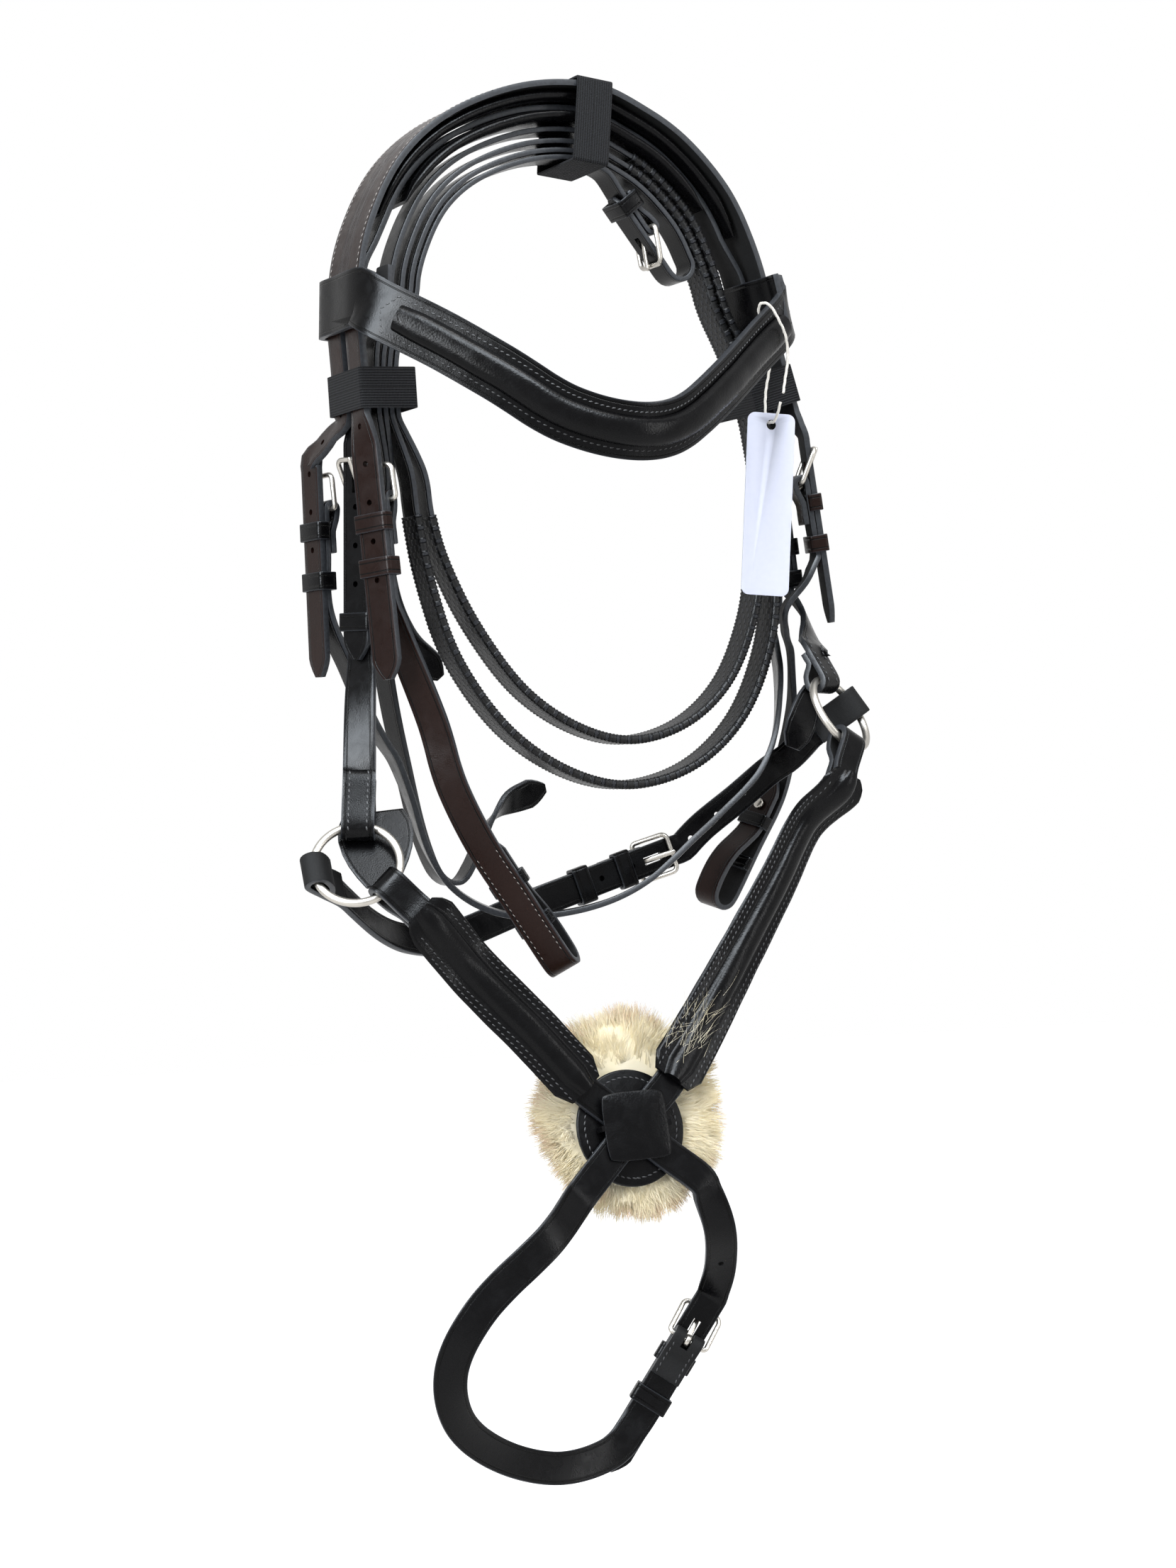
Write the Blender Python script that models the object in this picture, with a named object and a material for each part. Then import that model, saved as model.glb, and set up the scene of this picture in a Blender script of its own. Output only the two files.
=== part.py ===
"""Figure eight noseband on its bridle, with reins, gathered for a tack room peg.

Blender 4.5 script, metres, +Z up. The origin is where the crown band rests on the peg.
+X runs along the wall to the right, +Y runs into the wall, so the front faces -Y.
Straps are swept along smooth curves. A place table holds hand-chosen shares:
x of HALF_SPAN, y of DEPTH and z of DROP.
"""
import math

import bmesh
import bpy
from mathutils import Matrix, Vector

# Overall sizes
HALF_SPAN = 0.118
DEPTH = 0.100
DROP = 0.400

# Leather
STRAP_W = 0.016
STRAP_T = 0.003
HEAD_W = 0.038
ROLL_T = 0.0065
NOSE_ROLL_T = 0.006
ROLL_W = 0.030
BROW_W = 0.028
BROW_PAD_T = 0.005
NOSE_PAD_W = 0.029
NOSE_PAD_T = 0.005
REIN_W = 0.016
REIN_T = 0.0026
GRIP_WALL = 0.0009
GAP = 0.0003

# Metal
WIRE_R = 0.0013
RING_R = 0.021
RING_WIRE_R = 0.002
BUCKLE_L = 0.017
TONGUE_W = 0.003
TONGUE_T = 0.0018
STUD_R = 0.003
STUD_SHAFT_R = 0.0012

# Keepers and bands
KEEPER_W = 0.009
KEEPER_T = 0.0016
BAND_W = 0.020
BAND_T = 0.0012
BAND_BOW = 0.0014

# Disc, sheepskin and tag
DISC_R = 0.028
DISC_T = 0.0025
CAP_HALF = 0.018
FLEECE_R = 0.051
FLEECE_T = 0.020
TAG_W = 0.0255
TAG_L = 0.094
TAG_T = 0.0008
TAG_CORNER_R = 0.004
TAG_HOLE_R = 0.0026
STRING_D = 0.0016

TIP_SHARES = (1.0, 0.86, 0.62, 0.3)
CIRCLE_SIDES = 8
RING_STEPS = 36


def place(shares):
    return Vector((shares[0] * HALF_SPAN, shares[1] * DEPTH, shares[2] * DROP))


def turned(degrees, lean=0.0):
    """Direction across a strap whose face looks `degrees` round from the front."""
    turn = math.radians(degrees)
    tilt = math.radians(lean)
    flat = math.cos(tilt)
    return Vector((math.cos(turn) * flat, math.sin(turn) * flat, math.sin(tilt)))


def paint(name, color, roughness, metallic):
    material = bpy.data.materials.get(name)
    if material:
        return material
    material = bpy.data.materials.new(name)
    material.use_nodes = True
    shader = material.node_tree.nodes["Principled BSDF"]
    shader.inputs["Base Color"].default_value = (*color, 1.0)
    shader.inputs["Roughness"].default_value = roughness
    shader.inputs["Metallic"].default_value = metallic
    return material


def add_object(name, bm, look):
    mesh = bpy.data.meshes.new(name)
    bmesh.ops.recalc_face_normals(bm, faces=bm.faces)
    bm.to_mesh(mesh)
    bm.free()
    thing = bpy.data.objects.new(name, mesh)
    bpy.context.scene.collection.objects.link(thing)
    material = paint(name + "_finish", *look)
    mesh.materials.append(material)
    mesh.shade_smooth()
    mesh.set_sharp_from_angle(angle=math.radians(35))
    return thing


BLACK_LEATHER = ((0.012, 0.012, 0.014), 0.4, 0.0)
BROWN_LEATHER = ((0.030, 0.018, 0.014), 0.45, 0.0)
RUBBER = ((0.010, 0.010, 0.011), 0.6, 0.0)
ELASTIC = ((0.012, 0.012, 0.013), 0.8, 0.0)
STEEL = ((0.62, 0.61, 0.58), 0.2, 1.0)
FLEECE = ((0.80, 0.72, 0.50), 0.95, 0.0)
CARD = ((0.82, 0.82, 0.88), 0.5, 0.0)


# Curves and sweeps

def spline(values, steps):
    """Smooth curve through a list of vectors, `steps` pieces between each two."""
    ends = [values[0] * 2 - values[1]] + list(values) + [values[-1] * 2 - values[-2]]
    curve = []
    for i in range(1, len(ends) - 2):
        before, here, there, after = ends[i - 1:i + 3]
        for k in range(steps):
            t = k / steps
            bend = (here * 3 - before - there * 3 + after) * t
            pull = before * 2 - here * 5 + there * 4 - after
            curve.append(here + ((bend + pull) * t + there - before) * (t / 2))
    curve.append(values[-1].copy())
    return curve


def run(rows, steps=3):
    """Stations (place, across) through rows of (place, across)."""
    rows = list(rows)
    aligned = [rows[0][1].copy()]
    for _, across in rows[1:]:
        aligned.append(across if across.dot(aligned[-1]) >= 0 else -across)
    places = spline([row[0] for row in rows], steps)
    across = spline(aligned, steps)
    return list(zip(places, across))


def table(rows, turns):
    """Rows from place shares and the direction across: degrees round, or a vector."""
    result = []
    for shares, turn in zip(rows, turns):
        across = Vector(turn).normalized() if len(turn) == 3 else turned(*turn)
        result.append((place(shares), across))
    return result


def frames(stations, closed):
    count = len(stations)
    result = []
    for i, (here, across) in enumerate(stations):
        before = stations[i - 1][0] if closed or i else here
        after = stations[(i + 1) % count][0] if closed or i < count - 1 else here
        along = (after - before).normalized()
        side = (across - along * across.dot(along)).normalized()
        if result and side.dot(result[-1][1]) < 0:
            side = -side
        result.append((here, side, side.cross(along)))
    return result


def rectangle(width, thickness):
    w = width / 2
    t = thickness / 2
    return [(-w, -t), (w, -t), (w, t), (-w, t)]


def circle(radius, sides=CIRCLE_SIDES):
    turn = 2 * math.pi / sides
    return [(radius * math.cos(turn * (k + 0.5)), radius * math.sin(turn * (k + 0.5)))
            for k in range(sides)]


def loft(bm, rings, closed):
    """Skin a list of vertex rings, capped unless the list closes on itself."""
    count = len(rings)
    sides = len(rings[0])
    for i in range(count if closed else count - 1):
        ring = rings[i]
        following = rings[(i + 1) % count]
        for k in range(sides):
            j = (k + 1) % sides
            bm.faces.new((ring[k], ring[j], following[j], following[k]))
    if not closed:
        bm.faces.new(rings[0])
        bm.faces.new(rings[-1])


def sweep(name, stations, outline, look, closed=False, widths=None, depths=None):
    """One solid: an outline of (across, out) pairs carried along the stations."""
    bm = bmesh.new()
    rings = []
    for i, (here, side, out) in enumerate(frames(stations, closed)):
        w = widths[i] if widths else 1.0
        d = depths[i] if depths else 1.0
        rings.append([bm.verts.new(here + side * (a * w) + out * (b * d)) for a, b in outline])
    loft(bm, rings, closed)
    return add_object(name, bm, look)


def tip_widths(count, start_tip=False, end_tip=False):
    widths = [1.0] * count
    for k, share in enumerate(TIP_SHARES):
        back = len(TIP_SHARES) - 1 - k
        if end_tip:
            widths[count - 1 - back] = share
        if start_tip:
            widths[back] = share
    return widths


def tip_rows(end, before, width):
    """Short steps past `end` that carry a pointed strap end."""
    along = (end[0] - before[0]).normalized()
    return [(end[0] + along * (width * k / 5), end[1]) for k in range(1, len(TIP_SHARES))]


def strap(name, stations, look=BLACK_LEATHER, width=STRAP_W, thickness=STRAP_T,
          start_tip=False, end_tip=False, closed=False):
    stations = list(stations)
    if start_tip:
        stations = tip_rows(stations[0], stations[1], width)[::-1] + stations
    if end_tip:
        stations = stations + tip_rows(stations[-1], stations[-2], width)
    widths = tip_widths(len(stations), start_tip, end_tip)
    return sweep(name, stations, rectangle(width, thickness), look, closed, widths)


# Cutters and unions

def hide(tool):
    tool.hide_render = True
    tool.display_type = "WIRE"


def combine(target, tool, operation):
    modifier = target.modifiers.new(operation.title(), "BOOLEAN")
    modifier.operation = operation
    modifier.object = tool
    modifier.solver = "EXACT"
    hide(tool)


def block(name, zone, low, high):
    """A box between two corners given along, across and out in a zone."""
    bm = bmesh.new()
    for u in (low[0], high[0]):
        for w in (low[1], high[1]):
            for n in (low[2], high[2]):
                bm.verts.new(zone.at(u, w, n))
    bmesh.ops.convex_hull(bm, input=bm.verts)
    return add_object(name, bm, BLACK_LEATHER)


def rod(name, zone, u, w, low, high, radius, look=STEEL, sides=12):
    """A round bar along a zone's out direction."""
    stations = [(zone.at(u, w, low), zone.along), (zone.at(u, w, high), zone.along)]
    return sweep(name, stations, circle(radius, sides), look)


class Zone:
    """A straight stretch: its origin, along, across and out directions."""

    def __init__(self, origin, along, across):
        self.origin = origin
        self.along = along.normalized()
        self.across = (across - self.along * across.dot(self.along)).normalized()
        self.out = self.along.cross(self.across)

    def at(self, u, w, n):
        return self.origin + self.along * u + self.across * w + self.out * n

    def line(self, places, n=0.0):
        return [(self.at(u, 0, n), self.across) for u in places]


# Crown: every layer follows the outer curve at its own depth

CROWN_SHARES = (
    (-1.030, 1.50), (-1.045, 1.29), (-1.063, 1.03), (-1.025, 0.742), (-0.881, 0.428),
    (-0.644, 0.199), (-0.300, 0.042), (0.040, 0.0), (0.290, 0.070), (0.515, 0.190),
    (0.729, 0.394), (0.865, 0.640), (0.945, 0.877), (1.005, 1.097), (1.085, 1.335),
)
CROWN_STEPS = 3
GRIP_T = REIN_T + 2 * (GRIP_WALL + GAP)
GRIP_LAYER = GRIP_T + 2 * GAP
REIN_LAYER = REIN_T + 2 * GAP
CROWN_LAYERS = (STRAP_T, ROLL_T, STRAP_T, NOSE_ROLL_T, GRIP_LAYER, GRIP_LAYER,
                REIN_LAYER, REIN_LAYER)
LOOSE = 0.0022
LEFT_LAYERS = (STRAP_T, LOOSE, STRAP_T, LOOSE, REIN_LAYER, REIN_LAYER, REIN_LAYER, REIN_LAYER)
RIGHT_LAYERS = (STRAP_T, LOOSE, STRAP_T, LOOSE, GRIP_LAYER, GRIP_LAYER)
BAND_CLEAR = 2 * GAP


def middle(layers, index):
    """Depth of the middle of one layer below the outer face of the stack."""
    return sum(layers[:index]) + index * GAP + layers[index] / 2


def stack(layers):
    return sum(layers) + (len(layers) - 1) * GAP


CROWN_TOP = stack(CROWN_LAYERS) + BAND_CLEAR + BAND_BOW + BAND_T


def crown_curve():
    points = [Vector((x * HALF_SPAN, 0, CROWN_TOP - z * HALF_SPAN)) for x, z in CROWN_SHARES]
    return spline(points, CROWN_STEPS)


CROWN = crown_curve()
BACKWARD = Vector((0, -1, 0))
INTO_WALL = Vector((0, 1, 0))
CROWN_OUT = [out for _, _, out in frames([(p, BACKWARD) for p in CROWN], False)]
CROWN_END = len(CROWN) - 1


def arc_lengths(points):
    lengths = [0.0]
    for before, after in zip(points, points[1:]):
        lengths.append(lengths[-1] + (after - before).length)
    return lengths


CROWN_RUN = arc_lengths(CROWN)
BAND_ZONE = BAND_W + 0.008
BROW_ZONE = BAND_ZONE + 0.012
BROW_END = BROW_ZONE + BROW_W + 0.003
FULL_ZONE = BROW_END + 0.028
REIN_FULL = BAND_ZONE + 0.040


def ramp(value, low, high):
    t = min(max((value - low) / (high - low), 0.0), 1.0)
    return t * t * (3 - 2 * t)


def depth_at(i, left, crown, right, low, high):
    """Depth of a layer's middle at one crown station."""
    from_left = CROWN_RUN[i]
    from_right = CROWN_RUN[-1] - CROWN_RUN[i]
    if from_left < from_right:
        return left + (crown - left) * ramp(from_left, low, high)
    return right + (crown - right) * ramp(from_right, low, high)


def crown_rows(left, crown, right, first=0, last=CROWN_END, low=BROW_END, high=FULL_ZONE):
    rows = []
    for i in range(first, last + 1):
        depth = depth_at(i, left, crown, right, low, high)
        rows.append((CROWN[i] - CROWN_OUT[i] * depth, BACKWARD))
    return rows


def station_near(distance, from_right=False):
    target = CROWN_RUN[-1] - distance if from_right else distance
    return min(range(len(CROWN)), key=lambda i: abs(CROWN_RUN[i] - target))


PEG_STATION = station_near(CROWN_RUN[-1] * 0.545)


# Buckles and keepers

BILLET_BACK = STRAP_T / 2
CHAPE_N = -(STRAP_T + GAP)
FOLD_R = WIRE_R + GAP + STRAP_T / 2
HINGE_N = CHAPE_N - FOLD_R
FAR_N = BILLET_BACK + GAP + WIRE_R
TUCKED_N = -(BILLET_BACK + GAP + TONGUE_T + GAP + WIRE_R)
RETURN_N = CHAPE_N - STRAP_T - GAP
RETURN_LEN = 0.022
FRAME_HALF = STRAP_W / 2 + 4 * GAP + WIRE_R
HINGE_CORNER = 0.0022
FAR_CORNER = 0.0032
TONGUE_REST = WIRE_R + GAP + TONGUE_T / 2
TONGUE_OVER = 0.0022
SLOT_W = TONGUE_W + 4 * GAP
TONGUE_SWING = math.radians(6)
ZONE_TOP = -0.025
STRAIGHT_TOP = (ZONE_TOP, ZONE_TOP * 0.8)
ZONE_END = 0.050
FOLD_TAIL = 0.024
SHORT_FOLD_TAIL = 0.016
FOLD_STEPS = 6
FIXED_U = 0.011
RUNNER_U = 0.036


class Buckle:
    """Frame, tongue, chape fold and keepers in one zone, for a billet at n = 0."""

    def __init__(self, name, zone, fastened=True, length=BUCKLE_L):
        self.name = name
        self.zone = zone
        self.length = length
        self.far_n = FAR_N if fastened else TUCKED_N
        self.hinge = zone.at(0, 0, HINGE_N)
        reach = zone.at(-length, 0, self.far_n) - self.hinge
        self.reach = reach.length
        self.up = reach.normalized()
        self.face = zone.across.cross(self.up)
        if self.face.dot(zone.out) < 0:
            self.face = -self.face

    def add_frame(self):
        across = self.zone.across
        corners = (
            (0.0, FRAME_HALF, HINGE_CORNER, 180), (self.reach, FRAME_HALF, FAR_CORNER, 90),
            (self.reach, -FRAME_HALF, FAR_CORNER, 0), (0.0, -FRAME_HALF, HINGE_CORNER, -90))
        rows = []
        for e, w, radius, start in corners:
            centre_e = e + (radius if e == 0.0 else -radius)
            centre_w = w - math.copysign(radius, w)
            for k in range(4):
                turn = math.radians(start - 30 * k)
                spot_e = centre_e + radius * math.cos(turn)
                spot_w = centre_w + radius * math.sin(turn)
                rows.append((self.hinge + self.up * spot_e + across * spot_w, self.face))
        return sweep(self.name + "_buckle", rows, circle(WIRE_R, 6), STEEL, closed=True)

    def add_tongue(self):
        rows = []
        for k in range(9):
            turn = math.radians(-240 + 30 * k)
            spot = self.up * (TONGUE_REST * math.sin(turn))
            rows.append((self.hinge + spot + self.face * (TONGUE_REST * math.cos(turn)),
                         self.zone.across))
        for reach in (self.reach * 0.6, self.reach + TONGUE_OVER):
            rows.append((self.hinge + self.up * reach + self.face * TONGUE_REST,
                         self.zone.across))
        outline = rectangle(TONGUE_W, TONGUE_T)
        return sweep(self.name + "_buckle_tongue", rows, outline, STEEL)

    def cut_chape(self, chape):
        reach = FOLD_R + STRAP_T
        tool = block(self.name + "_tongue_slot", self.zone,
                     (-reach, -SLOT_W / 2, HINGE_N - reach),
                     (TONGUE_REST + TONGUE_T, SLOT_W / 2, CHAPE_N + STRAP_T))
        combine(chape, tool, "DIFFERENCE")

    def cut_billet(self, billet):
        """Slot that clears the tongue through its whole swing."""
        spots = []
        for swing in (0.0, TONGUE_SWING):
            slope = math.asin(self.up.dot(self.zone.out)) + swing
            reach = (-HINGE_N - TONGUE_REST * math.cos(slope)) / math.sin(slope)
            spots.append(TONGUE_REST * math.sin(slope) - reach * math.cos(slope))
            half = (STRAP_T / 2 + TONGUE_T / 2 / math.cos(slope)) / math.tan(slope)
            spots.append(spots[-1] - half)
            spots.append(spots[-2] + half)
        tool = block(self.name + "_billet_slot", self.zone,
                     (min(spots) - GAP, -SLOT_W / 2, -STRAP_T),
                     (max(spots) + GAP, SLOT_W / 2, STRAP_T))
        combine(billet, tool, "DIFFERENCE")

    def chape_rows(self, end=ZONE_END):
        """Chape from the end of its stitched return, over the bar, to the straight's end."""
        zone = self.zone
        rows = [(zone.at(u, 0, RETURN_N), zone.across)
                for u in (RETURN_LEN, RETURN_LEN * 0.75, RETURN_LEN * 0.5)]
        low = HINGE_N - FOLD_R
        rows.append((zone.at(RETURN_LEN * 0.25, 0, (RETURN_N + low * 2) / 3), zone.across))
        for k in range(FOLD_STEPS + 1):
            turn = math.pi * k / FOLD_STEPS
            rows.append((zone.at(-FOLD_R * math.sin(turn), 0, HINGE_N - FOLD_R * math.cos(turn)),
                         zone.across))
        rows += zone.line((RETURN_LEN * 0.4, RETURN_LEN, end), CHAPE_N)
        return rows

    def keeper(self, name, u, back_n, front_n=BILLET_BACK, look=BLACK_LEATHER):
        """Closed leather loop round the layers between two depths."""
        zone = self.zone
        half = STRAP_W / 2 + GAP + KEEPER_T / 2
        low = back_n - GAP - KEEPER_T / 2
        high = front_n + GAP + KEEPER_T / 2
        return hoop(name, zone.at(u, 0, 0), zone.across, zone.out, zone.along,
                    (-half, half), (low, high), KEEPER_W, KEEPER_T, look)

    def add_fixed_keeper(self, chape, u=FIXED_U):
        """Keeper stitched into the chape, so one body with it."""
        back = CHAPE_N + KEEPER_T / 2 + GAP
        combine(chape, self.keeper(self.name + "_fixed_keeper", u, back), "UNION")

    def add_runner(self, u=RUNNER_U, back=CHAPE_N, look=BLACK_LEATHER):
        """Keeper that slides on the billet and the chape behind it."""
        return self.keeper(self.name + "_runner", u, back - STRAP_T / 2, look=look)


def hoop(name, centre, across, out, along, wide, deep, width, thickness, look):
    """Closed flat loop with rounded corners, seen along `along`."""
    radius = thickness * 0.8
    rows = []
    corners = ((wide[1], deep[1], 0), (wide[0], deep[1], 90),
               (wide[0], deep[0], 180), (wide[1], deep[0], 270))
    for w, n, start in corners:
        centre_w = w - math.copysign(radius, w - (wide[0] + wide[1]) / 2)
        centre_n = n - math.copysign(radius, n - (deep[0] + deep[1]) / 2)
        for k in range(3):
            turn = math.radians(start + 45 * k)
            spot_w = centre_w + radius * math.cos(turn)
            spot_n = centre_n + radius * math.sin(turn)
            rows.append((centre + across * spot_w + out * spot_n, along))
    return sweep(name, rows, rectangle(width, thickness), look, closed=True)


# Rings and folds round them

class Ring:
    def __init__(self, name, shares, turn, tilt):
        self.name = name
        self.centre = place(shares)
        self.right = turned(turn)
        lean = math.radians(tilt)
        level = Vector((-self.right.y, self.right.x, 0))
        self.up = level * math.sin(lean) + Vector((0, 0, 1)) * math.cos(lean)

    def add(self):
        rows = []
        for k in range(RING_STEPS):
            turn = 2 * math.pi * k / RING_STEPS
            spoke = self.right * math.cos(turn) + self.up * math.sin(turn)
            rows.append((self.centre + spoke * RING_R, self.right.cross(self.up)))
        return sweep(self.name, rows, circle(RING_WIRE_R), STEEL, closed=True)

    def spoke(self, degrees):
        """Unit directions out to the wire and along it."""
        turn = math.radians(degrees)
        out = self.right * math.cos(turn) + self.up * math.sin(turn)
        return out, self.up * math.cos(turn) - self.right * math.sin(turn)

    def behind(self, degrees, inward, back):
        """Direction of a strap that crosses behind the ring."""
        return self.right.cross(self.up) * -back - self.spoke(degrees)[0] * inward

    def fold(self, degrees, direction, width=STRAP_W, flip=1, tail=FOLD_TAIL):
        """Rows of a strap folded round the wire, from its short end to its long end."""
        spoke, wire = self.spoke(degrees)
        sag = RING_R - math.sqrt(RING_R ** 2 - (width / 2) ** 2)
        spot = self.centre + spoke * (RING_R - sag / 2)
        along = (direction - wire * direction.dot(wire)).normalized()
        out = wire.cross(along) * flip
        radius = RING_WIRE_R + sag / 2 + 2 * GAP + STRAP_T / 2
        closed_n = radius - STRAP_T - GAP
        rows = [(spot + along * reach + out * closed_n, wire)
                for reach in (tail, tail * 0.8, tail * 0.6)]
        rows.append((spot + along * (tail * 0.3) - out * (radius * 0.7), wire))
        for k in range(FOLD_STEPS + 1):
            bend = math.pi * k / FOLD_STEPS
            rows.append((spot - along * (radius * math.sin(bend)) - out * (radius * math.cos(bend)),
                         wire))
        for reach in (tail * 0.5, tail * 1.1):
            rows.append((spot + along * reach + out * radius, wire))
        return rows


LEFT_RING = Ring("left_ring", (-1.085, -0.25, -0.884), -28, 30)
RIGHT_RING = Ring("right_ring", (1.197, -0.38, -0.695), 28.6, 31.6)


def zone_between(start, end, turn, lean=0.0):
    return Zone(place(start), place(end) - place(start), turned(turn, lean))


LEFT_CHEEK = zone_between((-0.992, -0.168, -0.4425), (-0.935, -0.233, -0.660), -62)
LEFT_THROAT = zone_between((-1.090, 0.290, -0.4450), (-1.060, 0.275, -0.670), -82)
LEFT_HANGER = zone_between((-0.984, 0.024, -0.4300), (-0.980, 0.034, -0.640), -64)
RIGHT_CHEEK = zone_between((1.170, -0.140, -0.3850), (1.263, -0.140, -0.5375), 68)
RIGHT_THROAT = zone_between((1.238, 0.330, -0.4580), (1.247, 0.340, -0.600), 72)
RIGHT_HANGER = zone_between((1.164, 0.086, -0.4400), (1.220, 0.088, -0.5450), 71)


def build_headpiece():
    """Split crown strap: one wide band whose ends become two billets on each side."""
    lane_shares = (-1.0, 2 * STRAP_W / HEAD_W - 1, 1 - 2 * STRAP_W / HEAD_W, 1.0)
    first = station_near(BROW_ZONE + BROW_W / 2)
    last = station_near(BROW_ZONE + BROW_W / 2, from_right=True)
    depth = STRAP_T / 2
    rows = crown_rows(depth, depth, depth)
    bm = bmesh.new()
    sections = []
    for here, side, out in frames(rows, False)[first:last + 1]:
        edge = [side * (share * HEAD_W / 2) for share in lane_shares]
        front = [bm.verts.new(here + e + out * depth) for e in edge]
        back = [bm.verts.new(here + e - out * depth) for e in edge]
        sections.append((front, back))
    for (front, back), (front2, back2) in zip(sections, sections[1:]):
        for k in range(3):
            bm.faces.new((front[k], front[k + 1], front2[k + 1], front2[k]))
            bm.faces.new((back[k + 1], back[k], back2[k], back2[k + 1]))
        bm.faces.new((back[0], front[0], front2[0], back2[0]))
        bm.faces.new((front[3], back[3], back2[3], front2[3]))
    for front, back in (sections[0], sections[-1]):
        bm.faces.new((front[1], front[2], back[2], back[1]))
    offset = HEAD_W / 2 - STRAP_W / 2
    ends = (
        (sections[0], 2, -offset, range(first - 1, -1, -1), LEFT_CHEEK, LEFT_CHEEK_TIP),
        (sections[0], 0, offset, range(first - 1, -1, -1), LEFT_THROAT, LEFT_THROAT_TIP),
        (sections[-1], 2, -offset, range(last + 1, CROWN_END + 1), RIGHT_CHEEK, RIGHT_CHEEK_TIP),
        (sections[-1], 0, offset, range(last + 1, CROWN_END + 1), RIGHT_THROAT,
         RIGHT_THROAT_TIP))
    for (front, back), lane, y, stations, zone, tip in ends:
        start = rows[first if front is sections[0][0] else last][0] + Vector((0, y, 0))
        places = [(rows[i][0] + Vector((0, y, 0)), BACKWARD) for i in stations]
        places = places + run([places[-1]] + zone.line((ZONE_TOP,)), 3)[1:]
        places = places + zone.line((STRAIGHT_TOP[1], 0.0, tip * 0.5, tip))
        places = places + tip_rows(places[-1], places[-2], STRAP_W)
        widths = tip_widths(len(places) + 1, end_tip=True)
        ring = [front[lane], front[lane + 1], back[lane + 1], back[lane]]
        for i, (here, side, out) in enumerate(frames([(start, BACKWARD)] + places, False)):
            if i == 0:
                continue
            if out.dot(CROWN_OUT[first] if start.x < 0 else CROWN_OUT[last]) < 0:
                out = -out
            if side.dot(ring[1].co - ring[0].co) < 0:
                side = -side
            half = side * (STRAP_W / 2 * widths[i])
            following = [bm.verts.new(here - half + out * depth),
                         bm.verts.new(here + half + out * depth),
                         bm.verts.new(here + half - out * depth),
                         bm.verts.new(here - half - out * depth)]
            for k in range(4):
                j = (k + 1) % 4
                bm.faces.new((ring[k], ring[j], following[j], following[k]))
            ring = following
        bm.faces.new(ring)
    return add_object("headpiece", bm, BROWN_LEATHER)


LEFT_CHEEK_TIP = 0.078
LEFT_THROAT_TIP = 0.074
RIGHT_CHEEK_TIP = 0.066
RIGHT_THROAT_TIP = 0.034
LEFT_HANGER_TIP = 0.072
RIGHT_HANGER_TIP = 0.024

ROLL_SHARES = ((-0.5, 0.0), (-0.42, 0.5), (0.42, 0.5), (0.5, 0.0), (0.42, -0.5), (-0.42, -0.5))


def build_roll(name, index, thickness, low, high):
    """Padded roll under a crown strap, tapered at both ends."""
    first = station_near(low)
    last = station_near(high, from_right=True)
    depth = middle(CROWN_LAYERS, index)
    rows = crown_rows(depth, depth, depth, first, last)
    outline = [(a * ROLL_W, b * thickness) for a, b in ROLL_SHARES]
    scale = [1.0] * len(rows)
    scale[0] = scale[-1] = 0.35
    scale[1] = scale[-2] = 0.8
    return sweep(name, rows, outline, BLACK_LEATHER, depths=scale)


def build_headstrap():
    """Noseband's own headstrap, under the headpiece; both ends are billets."""
    left = middle(LEFT_LAYERS, 2)
    crown = middle(CROWN_LAYERS, 2)
    rows = crown_rows(left, crown, middle(RIGHT_LAYERS, 2), first=1)
    start = [(LEFT_HANGER.at(u, 0, 0), LEFT_HANGER.across)
             for u in (LEFT_HANGER_TIP, LEFT_HANGER_TIP / 2, 0.0, *STRAIGHT_TOP[::-1])]
    end = RIGHT_HANGER.line((*STRAIGHT_TOP, 0.0, RIGHT_HANGER_TIP / 2, RIGHT_HANGER_TIP))
    return strap("noseband_headstrap", start + rows + end, start_tip=True, end_tip=True)


def build_hanger(side, zone, ring, path, turns, straight, tail):
    """Strap from the noseband's buckle down to its ring."""
    buckle = Buckle(side + "_hanger", zone)
    down = place(path[-1]) - ring.centre
    fold = ring.fold(90, down, flip=-1, tail=tail)[::-1]
    middle_rows = table(path, turns)
    chape = buckle.chape_rows(straight)
    rows = chape[:-1] + run([chape[-1]] + middle_rows + [fold[0]], 3)[:-1] + fold
    hanger = strap(side + "_hanger", rows)
    buckle.cut_chape(hanger)
    buckle.add_frame()
    buckle.add_tongue()
    return buckle, hanger


TIP_LEN = STRAP_W * (len(TIP_SHARES) - 1) / 5
LEFT_HANGER_SHARES = ((-0.990, -0.03, -0.690), (-1.015, -0.09, -0.765))
LEFT_HANGER_TURNS = ((-52,), (-38,))
RIGHT_HANGER_SHARES = ((1.236, 0.045, -0.5575), (1.212, -0.070, -0.588))
RIGHT_HANGER_TURNS = ((58,), (42,))


def build_hangers():
    straight = LEFT_HANGER_TIP + TIP_LEN + KEEPER_T
    left, hanger = build_hanger("left", LEFT_HANGER, LEFT_RING, LEFT_HANGER_SHARES,
                                LEFT_HANGER_TURNS, straight, FOLD_TAIL)
    left.add_fixed_keeper(hanger, LEFT_HANGER_TIP - KEEPER_W)
    straight = RIGHT_HANGER_TIP + TIP_LEN + KEEPER_T
    right, hanger = build_hanger("right", RIGHT_HANGER, RIGHT_RING, RIGHT_HANGER_SHARES,
                                 RIGHT_HANGER_TURNS, straight, SHORT_FOLD_TAIL)
    right.add_fixed_keeper(hanger, FIXED_U)
    right.add_runner(RETURN_LEN + KEEPER_W / 2 + KEEPER_T)
    return left, right


# Browband

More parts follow.
